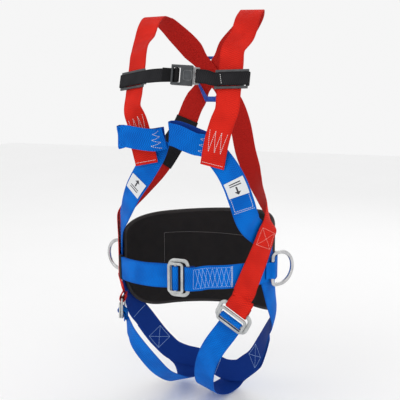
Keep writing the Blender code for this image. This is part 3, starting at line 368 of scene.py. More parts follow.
def seat_route():
    """Right chest, down the right front, under the seat and up to the left chest."""
    return smooth_route([
        at(-42, -93, 243, 0, -1, 0), at(-51, -95, 216, 0, -1, 0), at(-69, -98, 183, -0.15, -1, 0),
        at(-96, -92, 144, -0.4, -0.9, 0), at(-121, -75, 103, -0.65, -0.75, 0),
        hip(-69, 62, UNDER_BELT), hip(-75.5, 25, UNDER_BELT), hip(-78.5, -8, UNDER_BELT),
        hip(-86, -45, UNDER_BELT), hip(-93, -74, UNDER_BELT + 1), hip(-98, -97, UNDER_BELT + 2),
        hip(-103, -119, UNDER_BELT + 3), at(-137, 40, -160, -0.9, 0.5, 0),
        at(-110, 62, -212, -0.7, 0.75, -0.1), at(-86, 77, -243, -0.35, 0.95, -0.2),
        at(-59, 84, -254, -0.1, 1, -0.1), at(-24, 86, -258, 0, 1, -0.05), at(8, 84, -265, 0, 1, -0.1),
        at(38, 78, -272, 0.1, 0.95, -0.2), at(72, 70, -264, 0.3, 0.9, -0.3),
        at(101, 60, -235, 0.6, 0.75, -0.2), at(124, 42, -190, 0.85, 0.5, 0),
        at(146, 14, -137, 0.97, 0.2, 0), hip(89, -96, UNDER_BELT + 3), hip(84, -70, UNDER_BELT + 1),
        hip(79, -40, UNDER_BELT),
        hip(74, -8, UNDER_BELT), hip(71, 25, UNDER_BELT), hip(67, 60, UNDER_BELT),
        at(128, -89, 98, 0.55, -0.83, 0), at(117, -99, 136, 0.35, -0.93, 0),
        at(105, -101, 168, 0.2, -1, 0), at(90, -99.5, 193, 0.05, -1, 0), at(69, -96, 217, 0, -1, 0),
        at(46, -93, 238, 0, -1, 0)])


def thigh_route(side, seat):
    """Sewn outside the seat strap, then round the inside of the thigh to the thigh buckle."""
    first, last = SEWN_TO_SEAT[side]
    rows = rows_between(seat, min(first, last), max(first, last))
    middle, normal, _ = across_route(seat)
    outside = middle[rows][::-side]
    parting = np.linspace(0.0, 1.0, len(outside))[:, None] ** 2
    outside = outside + normal[rows][::-side] * (SEWN_LIFT + SEWN_PARTING * parting)
    looks = seat[rows, 3:6][::-side]
    stations = [at(*outside[k], *looks[k]) for k in range(len(outside))]
    routes = {
        -1: [at(-69, 89.5, -270, 0.0, 1.0, -0.1), at(-58, 88, -289, 0.0, 0.8, -0.6),
             at(-50, 66, -296, 0.2, 0.1, -0.97),
             at(-46, 20, -281, 0.3, -0.1, -0.95), at(-50, -18, -260, 0.3, -0.3, -0.85),
             at(-61, -52, -233, 0.1, -0.7, -0.65),
             at(-77, -74, -199, -0.1, -0.92, -0.35), at(-98, -83, -166, -0.4, -0.9, -0.1),
             at(-116, -77, -143, -0.75, -0.65, 0)],
        1: [at(60, 83.5, -282, 0.05, 0.98, -0.2), at(50, 81, -299, 0.0, 0.65, -0.75),
            at(38, 52, -302, -0.25, 0.1, -0.97),
            at(28, 8, -286, -0.3, -0.15, -0.93), at(28, -34, -259, -0.3, -0.5, -0.8),
            at(36, -65, -216, -0.3, -0.85, -0.4), at(50, -85, -175, -0.28, -0.93, -0.15),
            at(66, -93, -145, -0.22, -0.97, -0.1)],
    }
    centre, (along, _, outward) = THIGH_BUCKLES[side]
    stations += routes[side] + on_plane(centre, along, outward, big_frame_rows(30.0, 27.0))
    return smooth_route(stations)


def belt_height(angle):
    """Height of the belt's middle: lower at the back and a little lower on the wearer's right."""
    turn = math.radians(angle)
    back = 0.5 - 0.5 * math.cos(turn)
    return (BELT_FRONT_Z + (BELT_BACK_Z - BELT_FRONT_Z) * back
            + BELT_TILT * PAD_HALF_X * math.sin(turn))


def belt_route():
    """Ring side of the belt buckle, round the back, to the frame side and its tail."""
    centre, (along, _, outward) = BELT_BUCKLE
    stations = on_plane(centre, -along, outward, big_ring_rows(36.0, 28.0)[::-1])
    angles = [22, 29, 36, 44] + list(range(54, 300, 12)) + [306, 316, 326, 336]
    for angle in angles:
        stations.append(hip(angle, belt_height(angle), OVER_BELT if angle < 40 else BELT))
    stations += on_plane(centre, along, outward, big_frame_rows(30.0, 22.0))
    stations += [hip(angle, belt_height(angle), OVER_BELT + 0.5) for angle in (341, 334, 326, 316, 308, 301)]
    for station in stations[-6:]:
        station[3:6] *= -1.0
    return smooth_route(stations)


def rounded_box(wide, high, radius, centre=(0.0, 0.0), pieces=8):
    """Outline of a rectangle with round corners."""
    points = []
    for quarter, (sx, sy) in enumerate(((1, 1), (-1, 1), (-1, -1), (1, -1))):
        for k in range(pieces + 1):
            turn = math.pi / 2 * (quarter + k / pieces)
            points.append((centre[0] + sx * (wide / 2 - radius) + radius * math.cos(turn),
                           centre[1] + sy * (high / 2 - radius) + radius * math.sin(turn)))
    return points


def ring_path(bar, depth, wire, corner, bow_pieces=14):
    """D outline: a straight bar on the axis and a bow that reaches out to the given depth."""
    half = bar / 2 - wire / 2
    flat = depth - wire - half
    quarter = [math.pi / 2 * k / 4 for k in range(5)]
    bar_part = [(0.0, y) for y in (-half + corner, 0.0, half - corner)]
    upper = [(corner * (1 - math.cos(t)), half - corner * (1 - math.sin(t))) for t in quarter[1:]]
    lower = [(corner * (1 - math.sin(t)), -half + corner * (1 - math.cos(t))) for t in quarter[:-1]]
    bow = [(flat + half * math.sin(math.pi * k / bow_pieces), half * math.cos(math.pi * k / bow_pieces))
           for k in range(bow_pieces + 1)]
    return bar_part + upper + bow + lower


def side_ring_axes(side):
    """Middle of a side ring's bar, the way the ring points and the belt's outward direction."""
    angle = side * SIDE_RING_ANGLE[side]
    point, normal = ellipse_at(angle, BELT + THICK / 2 + GAP + WIRE / 2)
    outward = np.array([*normal, 0.0])
    backward = np.array([-normal[1], normal[0], 0.0]) * side
    lean = math.radians(SIDE_RING_OUTWARD[side])
    reach = backward * math.cos(lean) + outward * math.sin(lean)
    return np.array([*point, belt_height(angle) + SIDE_RING_RAISED[side]]), reach, outward


def slider_end_bar(side):
    """Middle of the bar that the chest strap is sewn round."""
    right, _, outward = slider_axes(side)
    inner_wall = WEB / 2 + 1.2 + 3.0
    reach = inner_wall + SLIDER_SLOT + SLIDER_END_BAR / 2
    return (np.array([side * SLIDER_X, SLIDER_Y, SLIDER_Z]) + right * side * reach
            + outward * (SLIDER_DEEP / 2 + SLIDER_FRONT / 2))


def chest_bow(share):
    """Middle of the chest strap between the slider fronts; share 0 is the right slider."""
    ends = {}
    for side in (-1, 1):
        right, _, outward = slider_axes(side)
        ends[side] = (np.array([side * SLIDER_X, SLIDER_Y, SLIDER_Z]) - right * side * 28.5
                      + outward * (SLIDER_DEEP / 2 + SLIDER_FRONT + THICK / 2 + 0.5))
    place = ends[-1] * (1 - share) + ends[1] * share
    bow = 4 * share * (1 - share)
    return place + np.array([0.0, -7.0 * bow, 5.0 * bow])


def chest_buckle_axes():
    """Middle of the chest buckle and its directions: along the strap, up and outward."""
    centre = chest_bow(CHEST_BUCKLE_SHARE)
    along = unit(chest_bow(CHEST_BUCKLE_SHARE + 0.05) - chest_bow(CHEST_BUCKLE_SHARE - 0.05))
    outward = unit(np.cross(along, (0.0, 0.12, 1.0)))
    return centre, along, np.cross(outward, along), outward


def slider_turn_stations(side):
    """The chest strap's run over a slider's front and round its end bar."""
    right, _, outward = slider_axes(side)
    bar = slider_end_bar(side)
    loop = math.hypot(SLIDER_FRONT, SLIDER_END_BAR) / 2 + THICK / 2 + 0.4
    front = SLIDER_FRONT / 2 + THICK / 2 + 0.5
    rows = [(-1.2, -loop, -1.6), (1.8, -loop * 0.85, -1.0)]
    rows += arc_rows(0.0, 0.0, loop, -35, 75, 5)
    rows += [(-4.5, front + 0.9, math.pi / 2), (-12.0, front, math.pi / 2)]
    turn = on_plane(bar, right * side, outward, rows)
    centre = np.array([side * SLIDER_X, SLIDER_Y, SLIDER_Z])
    lift = SLIDER_DEEP / 2 + SLIDER_FRONT + THICK / 2 + 0.5
    run = [at(*(centre + right * side * d + outward * lift), *outward) for d in (12.0, -4.0, -17.0, -28.5)]
    return turn + run


# ---- shader arithmetic ----------------------------------------------------------------------

class Value:
    """A shader socket that can be added, multiplied and compared in plain Python."""

    def __init__(self, tree, socket):
        self.tree, self.socket = tree, socket

    def node(self, kind, settings=None, sockets=None, output=0):
        """Another node of the same tree: its type, its settings and what goes in its sockets."""
        made = self.tree.nodes.new("ShaderNode" + kind)
        for key, value in (settings or {}).items():
            setattr(made, key, value)
        for key, value in (sockets or {}).items():
            if isinstance(value, Value):
                self.tree.links.new(value.socket, made.inputs[key])
            elif value is not None:
                made.inputs[key].default_value = value
        return Value(self.tree, made.outputs[output])

    def math(self, operation, first, second=None):
        """A Math node on one or two values."""
        return self.node("Math", {"operation": operation}, {0: first, 1: second})

    def __add__(self, other):
        return self.math("ADD", self, other)

    def __sub__(self, other):
        return self.math("SUBTRACT", self, other)

    def __rsub__(self, other):
        return self.math("SUBTRACT", other, self)

    def __mul__(self, other):
        return self.math("MULTIPLY", self, other)

    def __lt__(self, other):
        return self.math("LESS_THAN", self, other)

    def __gt__(self, other):
        return self.math("GREATER_THAN", self, other)

    __radd__, __rmul__ = __add__, __mul__

    def sine(self):
        """The value's sine."""
        return self.math("SINE", self)

    def size(self):
        """The value without its sign."""
        return self.math("ABSOLUTE", self)

    def wave(self, length):
        """A sine wave from 0 to 1 with that wavelength."""
        return (self * (2 * math.pi / length)).sine() * 0.5 + 0.5

    def step(self, low, high):
        """Smooth rise from 0 at low to 1 at high."""
        return self.node("MapRange", {"interpolation_type": "SMOOTHSTEP"},
                         {"Value": self, "From Min": low, "From Max": high})

    def mix(self, low, high):
        """Colour between two colours, by this value."""
        colours = {6: low if isinstance(low, Value) else (*low, 1.0),
                   7: high if isinstance(high, Value) else (*high, 1.0)}
        return self.node("Mix", {"data_type": "RGBA"}, {0: self, **colours}, 2)


def surface(name):
    """A new material: its Principled node and a starting value for its arithmetic."""
    made = bpy.data.materials.new(name)
    made.use_nodes = True
    return made, made.node_tree.nodes["Principled BSDF"], Value(made.node_tree, None)


def feed(shader, start, colour, rough, height, depth, metallic=0.0):
    """Connect a material's colour, roughness and bump height (as a depth in metres)."""
    links = start.tree.links
    links.new(colour.socket, shader.inputs["Base Color"])
    links.new(rough.socket, shader.inputs["Roughness"])
    bump = start.node("Bump", {}, {"Strength": 1.0, "Distance": depth, "Height": height})
    links.new(bump.socket, shader.inputs["Normal"])
    shader.inputs["Metallic"].default_value = metallic


def web_places(start):
    """Across and along in millimetres, and 1 on the outer face (0 on an inner face, which gets painted
    shade), from the webbing's attribute.
    """
    found = start.node("Attribute", {"attribute_name": "web"}, {}, 1)
    return [start.node("SeparateXYZ", {}, {0: found}, k) for k in range(3)]


def noise(start, scale, detail=2.0):
    """Cloudy noise in the piece's own place, from 0 to 1."""
    where = start.node("TexCoord", {}, {}, 3)
    return start.node("TexNoise", {}, {"Vector": where, "Scale": scale, "Detail": detail})


def webbing_surface(name, bright, dark, inner, half=22.5, roughness=0.62):
    """Woven webbing: chevron ribs, two woven edge bands, faded patches and painted shade on the back face."""
    made, shader, start = surface(name)
    across, along, outer = web_places(start)
    folded = (across + half).wave(11.0)
    ribs = (along + folded * 3.0).wave(3.6)
    yarns = across.wave(1.25)
    edge = across.size().step(half - 3.4, half - 1.6)
    patches = noise(start, 26.0).step(0.3, 0.72)
    fine = noise(start, 700.0)
    shade = ribs * 0.55 + yarns * 0.12 + patches * 0.3 + fine * 0.25
    face = shade.step(0.1, 1.1).mix(dark, bright)
    face = (edge * 0.35).mix(face, dark)
    # the inner face gets the inner colour: painted shade, darker than the webbing's own colour
    colour = outer.step(0.3, 0.7).mix(inner, face)
    feed(shader, start, colour, ribs * 0.08 + fine * 0.16 + (roughness - 0.1),
         ribs * 0.6 + yarns * 0.3 + fine * 0.2 + edge * 0.25, 0.00035)
    shader.inputs["Specular IOR Level"].default_value = 0.08
    return made


def thread_surface(name, low, high):
    """Twisted sewing thread."""
    made, shader, start = surface(name)
    grain = noise(start, 2400.0)
    feed(shader, start, grain.step(0.3, 0.7).mix(low, high), grain * 0.2 + 0.55, grain, 0.0001)
    return made


def pad_surface():
    """Black spacer mesh: staggered small holes, painted darker as shade, over a slightly brown-grey ground.
    """
    made, shader, start = surface("pad_mesh_look")
    across, along, _ = web_places(start)
    rows, columns = along.wave(2.6), (across + along * 0.5).wave(2.6)
    shaded_holes = (rows * columns).step(0.3, 0.75)
    soft = noise(start, 40.0).step(0.3, 0.7)
    fine = noise(start, 900.0)
    # the holes are painted near-black: painted shade in the recesses, darker than the mesh's own black
    colour = shaded_holes.mix((0.024, 0.022, 0.022), (0.006, 0.006, 0.0065))
    colour = (soft * 0.35).mix(colour, (0.030, 0.027, 0.025))
    feed(shader, start, colour, fine * 0.2 + 0.72, fine * 0.3 - shaded_holes, 0.0005)
    shader.inputs["Specular IOR Level"].default_value = 0.14
    return made


def binding_surface():
    """Ribbed binding tape of the pad's rim."""
    made, shader, start = surface("binding_look")
    _, along, _ = web_places(start)
    ribs = along.wave(1.4)
    fine = noise(start, 800.0)
    colour = (ribs * 0.6 + fine * 0.4).mix((0.010, 0.009, 0.009), (0.040, 0.034, 0.031))
    feed(shader, start, colour, fine * 0.2 + 0.6, ribs + fine * 0.3, 0.0002)
    return made


def metal_surface(name, low, high, rough, depth, scale):
    """Plated steel: cloudy plating, faint tumbling marks and varied gloss."""
    made, shader, start = surface(name)
    clouds, marks = noise(start, 60.0, 3.0), noise(start, scale, 4.0)
    colour = (clouds * 0.6 + marks * 0.4).step(0.3, 0.7).mix(low, high)
    feed(shader, start, colour, clouds * 0.16 + marks * 0.14 + (rough - 0.15), marks, depth, 1.0)
    return made


def plastic_surface(name, low, high, rough=0.42):
    """Moulded plastic with a fine eroded grain and slightly lighter, rubbed patches."""
    made, shader, start = surface(name)
    rubbed, grain = noise(start, 90.0, 3.0), noise(start, 1500.0)
    colour = rubbed.step(0.35, 0.75).mix(low, high)
    feed(shader, start, colour, grain * 0.2 + rubbed * 0.1 + (rough - 0.15), grain, 0.00012)
    return made


def label_surface():
    """White woven label with a plain arrow and three plain bars."""
    made, shader, start = surface("label_look")
    across, along, _ = web_places(start)
    along = along - LABEL_LONG / 2
    shaft = (across.size() < 1.6) * (along > -8.0) * (along < 2.0)
    head = (across.size() - along < 12.5) * (along > -12.0) * (along < -6.5) * (across.size() - along > 6.5)
    bars = (across.size() < 11.0) * (along > 3.5) * (along.wave(4.0) > 0.55) * (along < 12.0)
    ink = (shaft + head + bars).step(0.2, 0.6)
    weave = along.wave(0.9) * across.wave(0.9)
    fine = noise(start, 500.0)
    paper = (weave * 0.4 + fine * 0.6).mix((0.66, 0.68, 0.70), (0.86, 0.87, 0.88))
    feed(shader, start, ink.mix(paper, (0.03, 0.03, 0.04)), fine * 0.2 + 0.5, weave, 0.0001)
    return made


# ---- meshes ---------------------------------------------------------------------------------

def grid_faces(rows, columns, loop_columns=False, loop_rows=False):
    """Quads of a rows by columns grid, closed on itself across or along where asked."""
    r = np.arange(rows if loop_rows else rows - 1)[:, None]
    c = np.arange(columns if loop_columns else columns - 1)[None, :]
    r2, c2 = (r + 1) % rows, (c + 1) % columns
    quads = [r * columns + c, r * columns + c2, r2 * columns + c2, r2 * columns + c]
    return np.stack(quads, axis=-1).reshape(-1, 4)


def make_mesh(name, points, faces, look, web=None, sharp=60.0):
    """A mesh object from whole arrays, faces turned outward; points are in millimetres."""
    mesh = bpy.data.meshes.new(name)
    mesh.from_pydata((np.asarray(points).reshape(-1, 3) * MM).tolist(), [], [list(f) for f in faces])
    if web is not None:
        mark = mesh.attributes.new("web", "FLOAT_VECTOR", "POINT")
        mark.data.foreach_set("vector", np.asarray(web, np.float32).reshape(-1))
    tidy = bmesh.new()
    tidy.from_mesh(mesh)
    bmesh.ops.recalc_face_normals(tidy, faces=tidy.faces)
    tidy.to_mesh(mesh)
    tidy.free()
    mesh.polygons.foreach_set("use_smooth", np.ones(len(mesh.polygons), bool))
    mesh.set_sharp_from_angle(angle=math.radians(sharp))
    made = bpy.data.objects.new(name, mesh)
    made.data.materials.append(look)
    bpy.context.scene.collection.objects.link(made)
    return made


def grid_normals(points):
    """Unit normals of a rows by columns grid of points."""
    normal = np.cross(np.gradient(points, axis=0), np.gradient(points, axis=1))
    return normal / np.maximum(np.linalg.norm(normal, axis=2, keepdims=True), 1e-9)


def length_along(route):
    """Distance from the start of a route to each of its rows."""
    return np.concatenate([[0.0], np.cumsum(np.linalg.norm(np.diff(route[:, :3], axis=0), axis=1))])


def strap_middle(route, width, narrow=None, lift=0.0, only=None):
    """Middle surface of a strap: rows across its route, bent round the hips, and its normals."""
    middle, facing, across = across_route(route, lift)
    wide = gathered_width(route, width, narrow or width)
    share = np.sin(np.linspace(-0.5, 0.5, COLUMNS) * math.pi) * 0.35 + np.linspace(-0.5, 0.5, COLUMNS) * 0.3
    share = share / share[-1] / 2
    places = wide[:, None] * share[None, :]
    points = middle[:, None, :] + across[:, None, :] * places[:, :, None]
    weight = np.repeat(route[:, 6:7], COLUMNS, axis=1)
    offset = np.repeat(route[:, 7:8], COLUMNS, axis=1) + lift
    points = pull_to_hip(points, weight, offset)
    along = np.repeat(length_along(route)[:, None], COLUMNS, axis=1)
    if only is not None:
        points, places, along, facing = points[only], places[only], along[only], facing[only]
        along = along - along[0]
    normal = grid_normals(points)
    flip = np.sign(np.sum(normal * facing[:, None, :], axis=2).sum()) or 1.0
    return {"points": points, "places": places, "along": along, "normal": normal * flip}


def skin(strap, name, look, thick=THICK, tail=0.0):
    """A closed strap: the middle surface moved out and in by half a thickness that fades to
    nothing at both edges, as an ellipse does over the last millimetre. The inner face is marked
    for painted shade, except over the last stretch, the tail, where both faces count as outer ones."""
    points, places = strap["points"], strap["places"]
    half = np.abs(places).max(axis=1, keepdims=True)
    near = np.clip((np.abs(places) - (half - thick / 2)) / (thick / 2), 0.0, 1.0)
    depth = thick / 2 * np.sqrt(1.0 - 0.8 * near ** 2)
    outer = points + strap["normal"] * depth[:, :, None]
    inner = points - strap["normal"] * depth[:, :, None]
    loop = np.concatenate([outer, inner[:, ::-1]], axis=1)
    # rows of the tail: their back face gets the outer colour instead of the painted shade
    in_tail = 1.0 * (strap["along"] > strap["along"].max() - tail)
    face = np.stack([places, strap["along"], np.ones_like(places)], 2)
    back = np.stack([places, strap["along"], in_tail], 2)
    web = np.concatenate([face, back[:, ::-1]], axis=1)
    rows, columns = loop.shape[:2]
    faces = grid_faces(rows, columns, loop_columns=True).tolist()
    faces += [list(range(columns)), list(range((rows - 1) * columns, rows * columns))]
    return make_mesh(name, loop, faces, look, web)


def shown_as(made, body, nodes):
    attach(made, body)
    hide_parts(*nodes)
    return made


def on_strap(strap, across, along, out):
    """Places on a strap's outer face from distances across it and along it, in millimetres."""
    rows = np.interp(along, strap["along"][:, 0], np.arange(len(strap["along"])))
    middle_row = np.clip(rows.astype(int), 0, len(strap["along"]) - 2)
    columns = np.interp(across, strap["places"][len(strap["places"]) // 3], np.arange(COLUMNS))
    low = np.clip(columns.astype(int), 0, COLUMNS - 2)
    u, v = (rows - middle_row)[:, None], (columns - low)[:, None]
    found = []
    for key in ("points", "normal"):
        grid = strap[key]
        top = grid[middle_row, low] * (1 - v) + grid[middle_row, low + 1] * v
        bottom = grid[middle_row + 1, low] * (1 - v) + grid[middle_row + 1, low + 1] * v
        found.append(top * (1 - u) + bottom * u)
    return found[0] + found[1] * out


def stitch_line(corners, pitch=3.4, gap=0.8):
    """Start and end of every stitch along a line of corners (across, along)."""
    corners = np.asarray(corners, float)
    starts, ends = [], []
    for a, b in zip(corners[:-1], corners[1:]):
        count = max(1, int(round(np.linalg.norm(b - a) / pitch)))
        cuts = np.linspace(0.0, 1.0, count + 1)[:, None]
        places = a + (b - a) * cuts
        trim = (b - a) / np.linalg.norm(b - a) * gap / 2
        starts.append(places[:-1] + trim)
        ends.append(places[1:] - trim)
    return np.vstack(starts), np.vstack(ends)


def prisms(name, points, look):
    """Many small closed prisms in one mesh; points are (prism, ring, corner, place)."""
    count, rings, corners = points.shape[:3]
    base = (np.arange(count) * rings * corners)[:, None, None]
    sides = grid_faces(rings, corners, loop_columns=True)
    caps = np.stack([np.arange(corners), np.arange((rings - 1) * corners, rings * corners)])
    faces = (sides[None] + base).reshape(-1, 4).tolist() + (caps[None] + base).reshape(-1, corners).tolist()
    return make_mesh(name, points, faces, look)


def sewing(name, strap, lines, look, body, thick=0.85, out=THICK / 2):
    """Raised stitches: each one a small six-sided spindle that lies on the webbing."""
    pairs = [stitch_line(line) for line in lines]
    start, end = np.vstack([p[0] for p in pairs]), np.vstack([p[1] for p in pairs])
    share, fat = np.array([0.0, 0.12, 0.5, 0.88, 1.0]), np.array([0.25, 0.85, 1.0, 0.85, 0.25])
    rise = np.array([-0.25, 0.05, 0.22, 0.05, -0.25])
    flat = start[:, None, :] + (end - start)[:, None, :] * share[None, :, None]
    centre = on_strap(strap, flat[..., 0].ravel(), flat[..., 1].ravel(), out).reshape(-1, 5, 3)
    above = on_strap(strap, flat[..., 0].ravel(), flat[..., 1].ravel(), out + 1.0).reshape(-1, 5, 3)
    normal = above - centre
    centre = centre + normal * rise[None, :, None] * thick
    along = centre[:, -1:] - centre[:, :1]
    along = along / np.maximum(np.linalg.norm(along, axis=2, keepdims=True), 1e-9)
    side = np.cross(normal, along)
    turn = np.linspace(0, 2 * math.pi, 6, endpoint=False)
    ring = (side[:, :, None, :] * np.cos(turn)[None, None, :, None] * 0.55
            + normal[:, :, None, :] * np.sin(turn)[None, None, :, None] * 0.42)
    points = centre[:, :, None, :] + ring * (fat[None, :, None, None] * thick)
    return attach(prisms(name, points, look), body)


def zigzag(low, high, from_across, to_across, turns):
    """Corners of a zigzag between two distances along, going across the strap."""
    places = np.linspace(from_across, to_across, turns + 1)
    return [(x, low if k % 2 else high) for k, x in enumerate(places)]


def box_line(across, low, high):
    """Corners of a sewn rectangle."""
    return [(-across, low), (across, low), (across, high), (-across, high), (-across, low)]


def bar_line(along, across=18.0):
    """Corners of a straight line of stitches across a strap."""
    return [(-across, along), (across, along)]


def swept(name, path, right, up, centre, wide, thick, look, power=2.0, around=16, closed=True):
    """A bar carried round a closed plane path; its section is a superellipse of the given power,
    wide in the path's plane and thick square to it."""
    path = np.asarray(path, float)
    near = np.roll(path, -1, 0) - np.roll(path, 1, 0) if closed else np.gradient(path, axis=0)
    near = near / np.linalg.norm(near, axis=1, keepdims=True)
    side = np.stack([near[:, 1], -near[:, 0]], 1)
    turn = np.linspace(0, 2 * math.pi, around, endpoint=False)
    cos, sin = np.cos(turn), np.sin(turn)
    a = np.sign(cos) * np.abs(cos) ** (2 / power) * wide / 2
    b = np.sign(sin) * np.abs(sin) ** (2 / power) * thick / 2
    flat = path[:, None, :] + side[:, None, :] * a[None, :, None]
    out = np.cross(unit(right), unit(up))
    points = (np.asarray(centre) + flat[..., :1] * unit(right) + flat[..., 1:] * unit(up)
              + b[None, :, None] * out)
    rows = len(path)
    faces = grid_faces(rows, around, loop_columns=True, loop_rows=closed).tolist()
    if not closed:
        faces += [list(range(around)), list(range((rows - 1) * around, rows * around))]
    return make_mesh(name, points, faces, look, sharp=50.0)


def dense(path, pieces=4):
    """A closed path with every stretch cut in pieces."""
    path = np.asarray(path, float)
    after = np.roll(path, -1, 0)
    share = np.linspace(0, 1, pieces, endpoint=False)[None, :, None]
    return (path[:, None] * (1 - share) + after[:, None] * share).reshape(-1, 2)


def joined(name, pieces):
    """Several pieces as one object."""
    with bpy.context.temp_override(active_object=pieces[0], selected_editable_objects=pieces,
                                   selected_objects=pieces):
        bpy.ops.object.join()
    pieces[0].name = name
    return pieces[0]


def moulded(name, node, body, look, width=0.45):
    """A moulded part: the CAD solid's own surface with its flats merged and its edges rounded."""
    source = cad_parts[node]
    tidy = bmesh.new()
    tidy.from_mesh(source.data)
    bmesh.ops.remove_doubles(tidy, verts=tidy.verts, dist=0.00001)
    bmesh.ops.dissolve_limit(tidy, angle_limit=math.radians(1.0), verts=tidy.verts, edges=tidy.edges)
    mesh = bpy.data.meshes.new(name)
    tidy.to_mesh(mesh)
    tidy.free()
    made = bpy.data.objects.new(name, mesh)
    bpy.context.scene.collection.objects.link(made)
    made.data.materials.clear()
    made.data.materials.append(look)
    edge = made.modifiers.new("rounded", "BEVEL")
    edge.width = width * MM
    edge.segments = 3
    edge.angle_limit = math.radians(40)
    return shown_as(made, body, [node])


def lumbar_pad(look, binding, thread):
    """Waist pad: a tall curved sheet whose thickness swells between its bound rim and its sewn
    line, as a sine of the distance in from the rim."""
    first, last = PAD_FRONT_ANGLE[1] + 0.6, 360.0 - PAD_FRONT_ANGLE[-1] - 0.6
    columns, rows = 240, 72
    c = np.linspace(0.0, 1.0, columns + 1)[:, None] * np.ones((1, rows + 1))
    r = np.linspace(0.0, 1.0, rows + 1)[None, :] * np.ones((columns + 1, 1))
    angle = first + (last - first) * c
    ease = np.clip((np.abs(2 * c - 1) - 0.4) / 0.6, 0, 1) ** 2.2
    flat, out = ellipse_at(angle, -PAD_THICK / 2)
    tilt = PAD_TILT * flat[0] * (1 - ease)
    top = PAD_TOP_BACK + (PAD_TOP_END - PAD_TOP_BACK) * ease + tilt - 1.0
    bottom = PAD_BOTTOM_BACK + (PAD_BOTTOM_END - PAD_BOTTOM_BACK) * ease + tilt + 1.0
    corner = np.clip(1 - np.minimum(c, 1 - c) / 0.018, 0, 1) ** 2 * 0.06
    r = corner + r * (1 - 2 * corner)
    z = bottom + (top - bottom) * r
    points = np.stack([flat[0], flat[1], z], -1)
    normal = np.stack([out[0], out[1], np.zeros_like(z)], -1)
    rim = np.minimum(np.minimum(z - bottom, top - z), np.minimum(c, 1 - c) * PAD_ROUND)
    swell = 1.7 + 1.6 * np.sin(np.clip(rim / 9.0, 0, 1) * math.pi / 2)
    swell = swell + 0.5 * np.sin(np.clip((rim - PAD_SEWN_IN) / 16.0, 0, 1) * math.pi / 2)
    swell = swell - 1.0 * np.exp(-((rim - PAD_SEWN_IN) / 1.6) ** 2)
    swell = swell + 0.12 * np.sin(points[..., 0] / 17.0 + points[..., 2] / 23.0)
    along = c * PAD_ROUND
    web = np.stack([z, along, np.ones_like(z)], -1)
    loop = np.concatenate([points + normal * swell[..., None],
                           (points - normal * swell[..., None])[:, ::-1]], axis=1)
    web = np.concatenate([web, web[:, ::-1]], axis=1)
    count = loop.shape[1]
    faces = grid_faces(columns + 1, count, loop_columns=True).tolist()
    faces += [list(range(count)), list(range(columns * count, (columns + 1) * count))]
    made = make_mesh("lumbar_pad_look", loop, faces, look, web, sharp=75.0)
    shown_as(made, "harness", ["lumbar_pad"])
    edge = np.concatenate([points[:, 0], points[-1, 1:-1], points[::-1, -1], points[0, -2:0:-1]])
    edge_out = np.concatenate([normal[:, 0], normal[-1, 1:-1], normal[::-1, -1], normal[0, -2:0:-1]])
    edge_in = np.concatenate([points[:, 4], points[-5, 1:-1], points[::-1, -5], points[4, -2:0:-1]]) - edge
    edge_in = edge_in / np.maximum(np.linalg.norm(edge_in, axis=1, keepdims=True), 1e-9)
    turn = np.linspace(-math.pi, math.pi, 24, endpoint=False)
    reach = (0.5 - 0.5 * np.sign(np.cos(turn)) * np.abs(np.cos(turn)) ** 0.7) * 9.0 - 1.0
    height = np.sin(turn) * (2.9 + 0.5 * (reach + 1) / 9.0)
    tube = edge[:, None] + edge_in[:, None] * reach[None, :, None] + edge_out[:, None] * height[None, :, None]
    places = np.stack([np.broadcast_to(reach, tube.shape[:2]),
                       np.broadcast_to(length_along(edge)[:, None], tube.shape[:2]),
                       np.ones(tube.shape[:2])], -1)
    bound = make_mesh("pad_binding", tube, grid_faces(len(edge), 24, True, True).tolist(), binding, places)
    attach(bound, "harness")
    pad_stitches(points, normal, (bottom[:, 0] + PAD_SEWN_IN, top[:, 0] - PAD_SEWN_IN), thread)
    pad_dashes("pad_inner_sewing", thread)
    return made


def pad_dashes(name, thread):
    """Dashed rectangle and its slanting end, sewn through to the pad's inner face."""
    corners = np.array([(222.0, -40.0), (222.0, 26.0), (148.0, 30.0), (134.0, 8.0), (128.0, -30.0)])
    start, end = stitch_line(corners * np.array([2.2, 1.0]), 3.6, 0.9)
    share, fat = np.array([0.0, 0.2, 0.8, 1.0]), np.array([0.3, 1.0, 1.0, 0.3]) * 0.42
    flat = start[:, None] + (end - start)[:, None] * share[None, :, None]
    place, out = ellipse_at(flat[..., 0] / 2.2, -PAD_THICK + 0.1)
    centre = np.stack([place[0], place[1], flat[..., 1]], -1)
    normal = np.stack([out[0], out[1], np.zeros_like(out[0])], -1)
    along = centre[:, -1:] - centre[:, :1]
    along = along / np.linalg.norm(along, axis=2, keepdims=True)
    side = np.cross(normal, along)
    turn = np.linspace(0, 2 * math.pi, 6, endpoint=False)[None, None, :, None]
    points = centre[:, :, None] + (side[:, :, None] * np.cos(turn) + normal[:, :, None] * np.sin(turn)
                                   ) * fat[None, :, None, None]
    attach(prisms(name, points, thread), "harness")


def pad_stitches(points, normal, heights, thread):
    """Dashed stitch lines that run round the pad's outer face inside its rim."""
    column = np.arange(PAD_SEWN_FROM, len(points) - PAD_SEWN_FROM)
    share = np.array([0.0, 0.2, 0.8, 1.0])
    fat = np.array([0.2, 1.0, 1.0, 0.2])[None, :, None]
    for number, height in enumerate(heights):
        level = height[column]
        part = (level - points[column, 0, 2]) / (points[column, -1, 2] - points[column, 0, 2])
        row = np.clip((part * (points.shape[1] - 1)).astype(int), 0, points.shape[1] - 1)
        out = normal[column, row]
        place = points[column, row] + out * (PAD_THICK / 2 - 0.9)
        place[:, 2] = level
        along = (place[1:] - place[:-1]) * 0.85
        up = np.cross(along, out[:-1])
        up = up / np.linalg.norm(up, axis=1, keepdims=True)
        centre = place[:-1][:, None] + along[:, None] * share[None, :, None]
        ring = [centre + (up * b + out[:-1] * a)[:, None] * fat
                for a, b in ((0.0, 0.45), (0.5, 0.0), (0.0, -0.45), (-0.5, 0.0))]
        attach(prisms("pad_sewing_%d" % number, np.stack(ring, axis=2), thread), "harness")


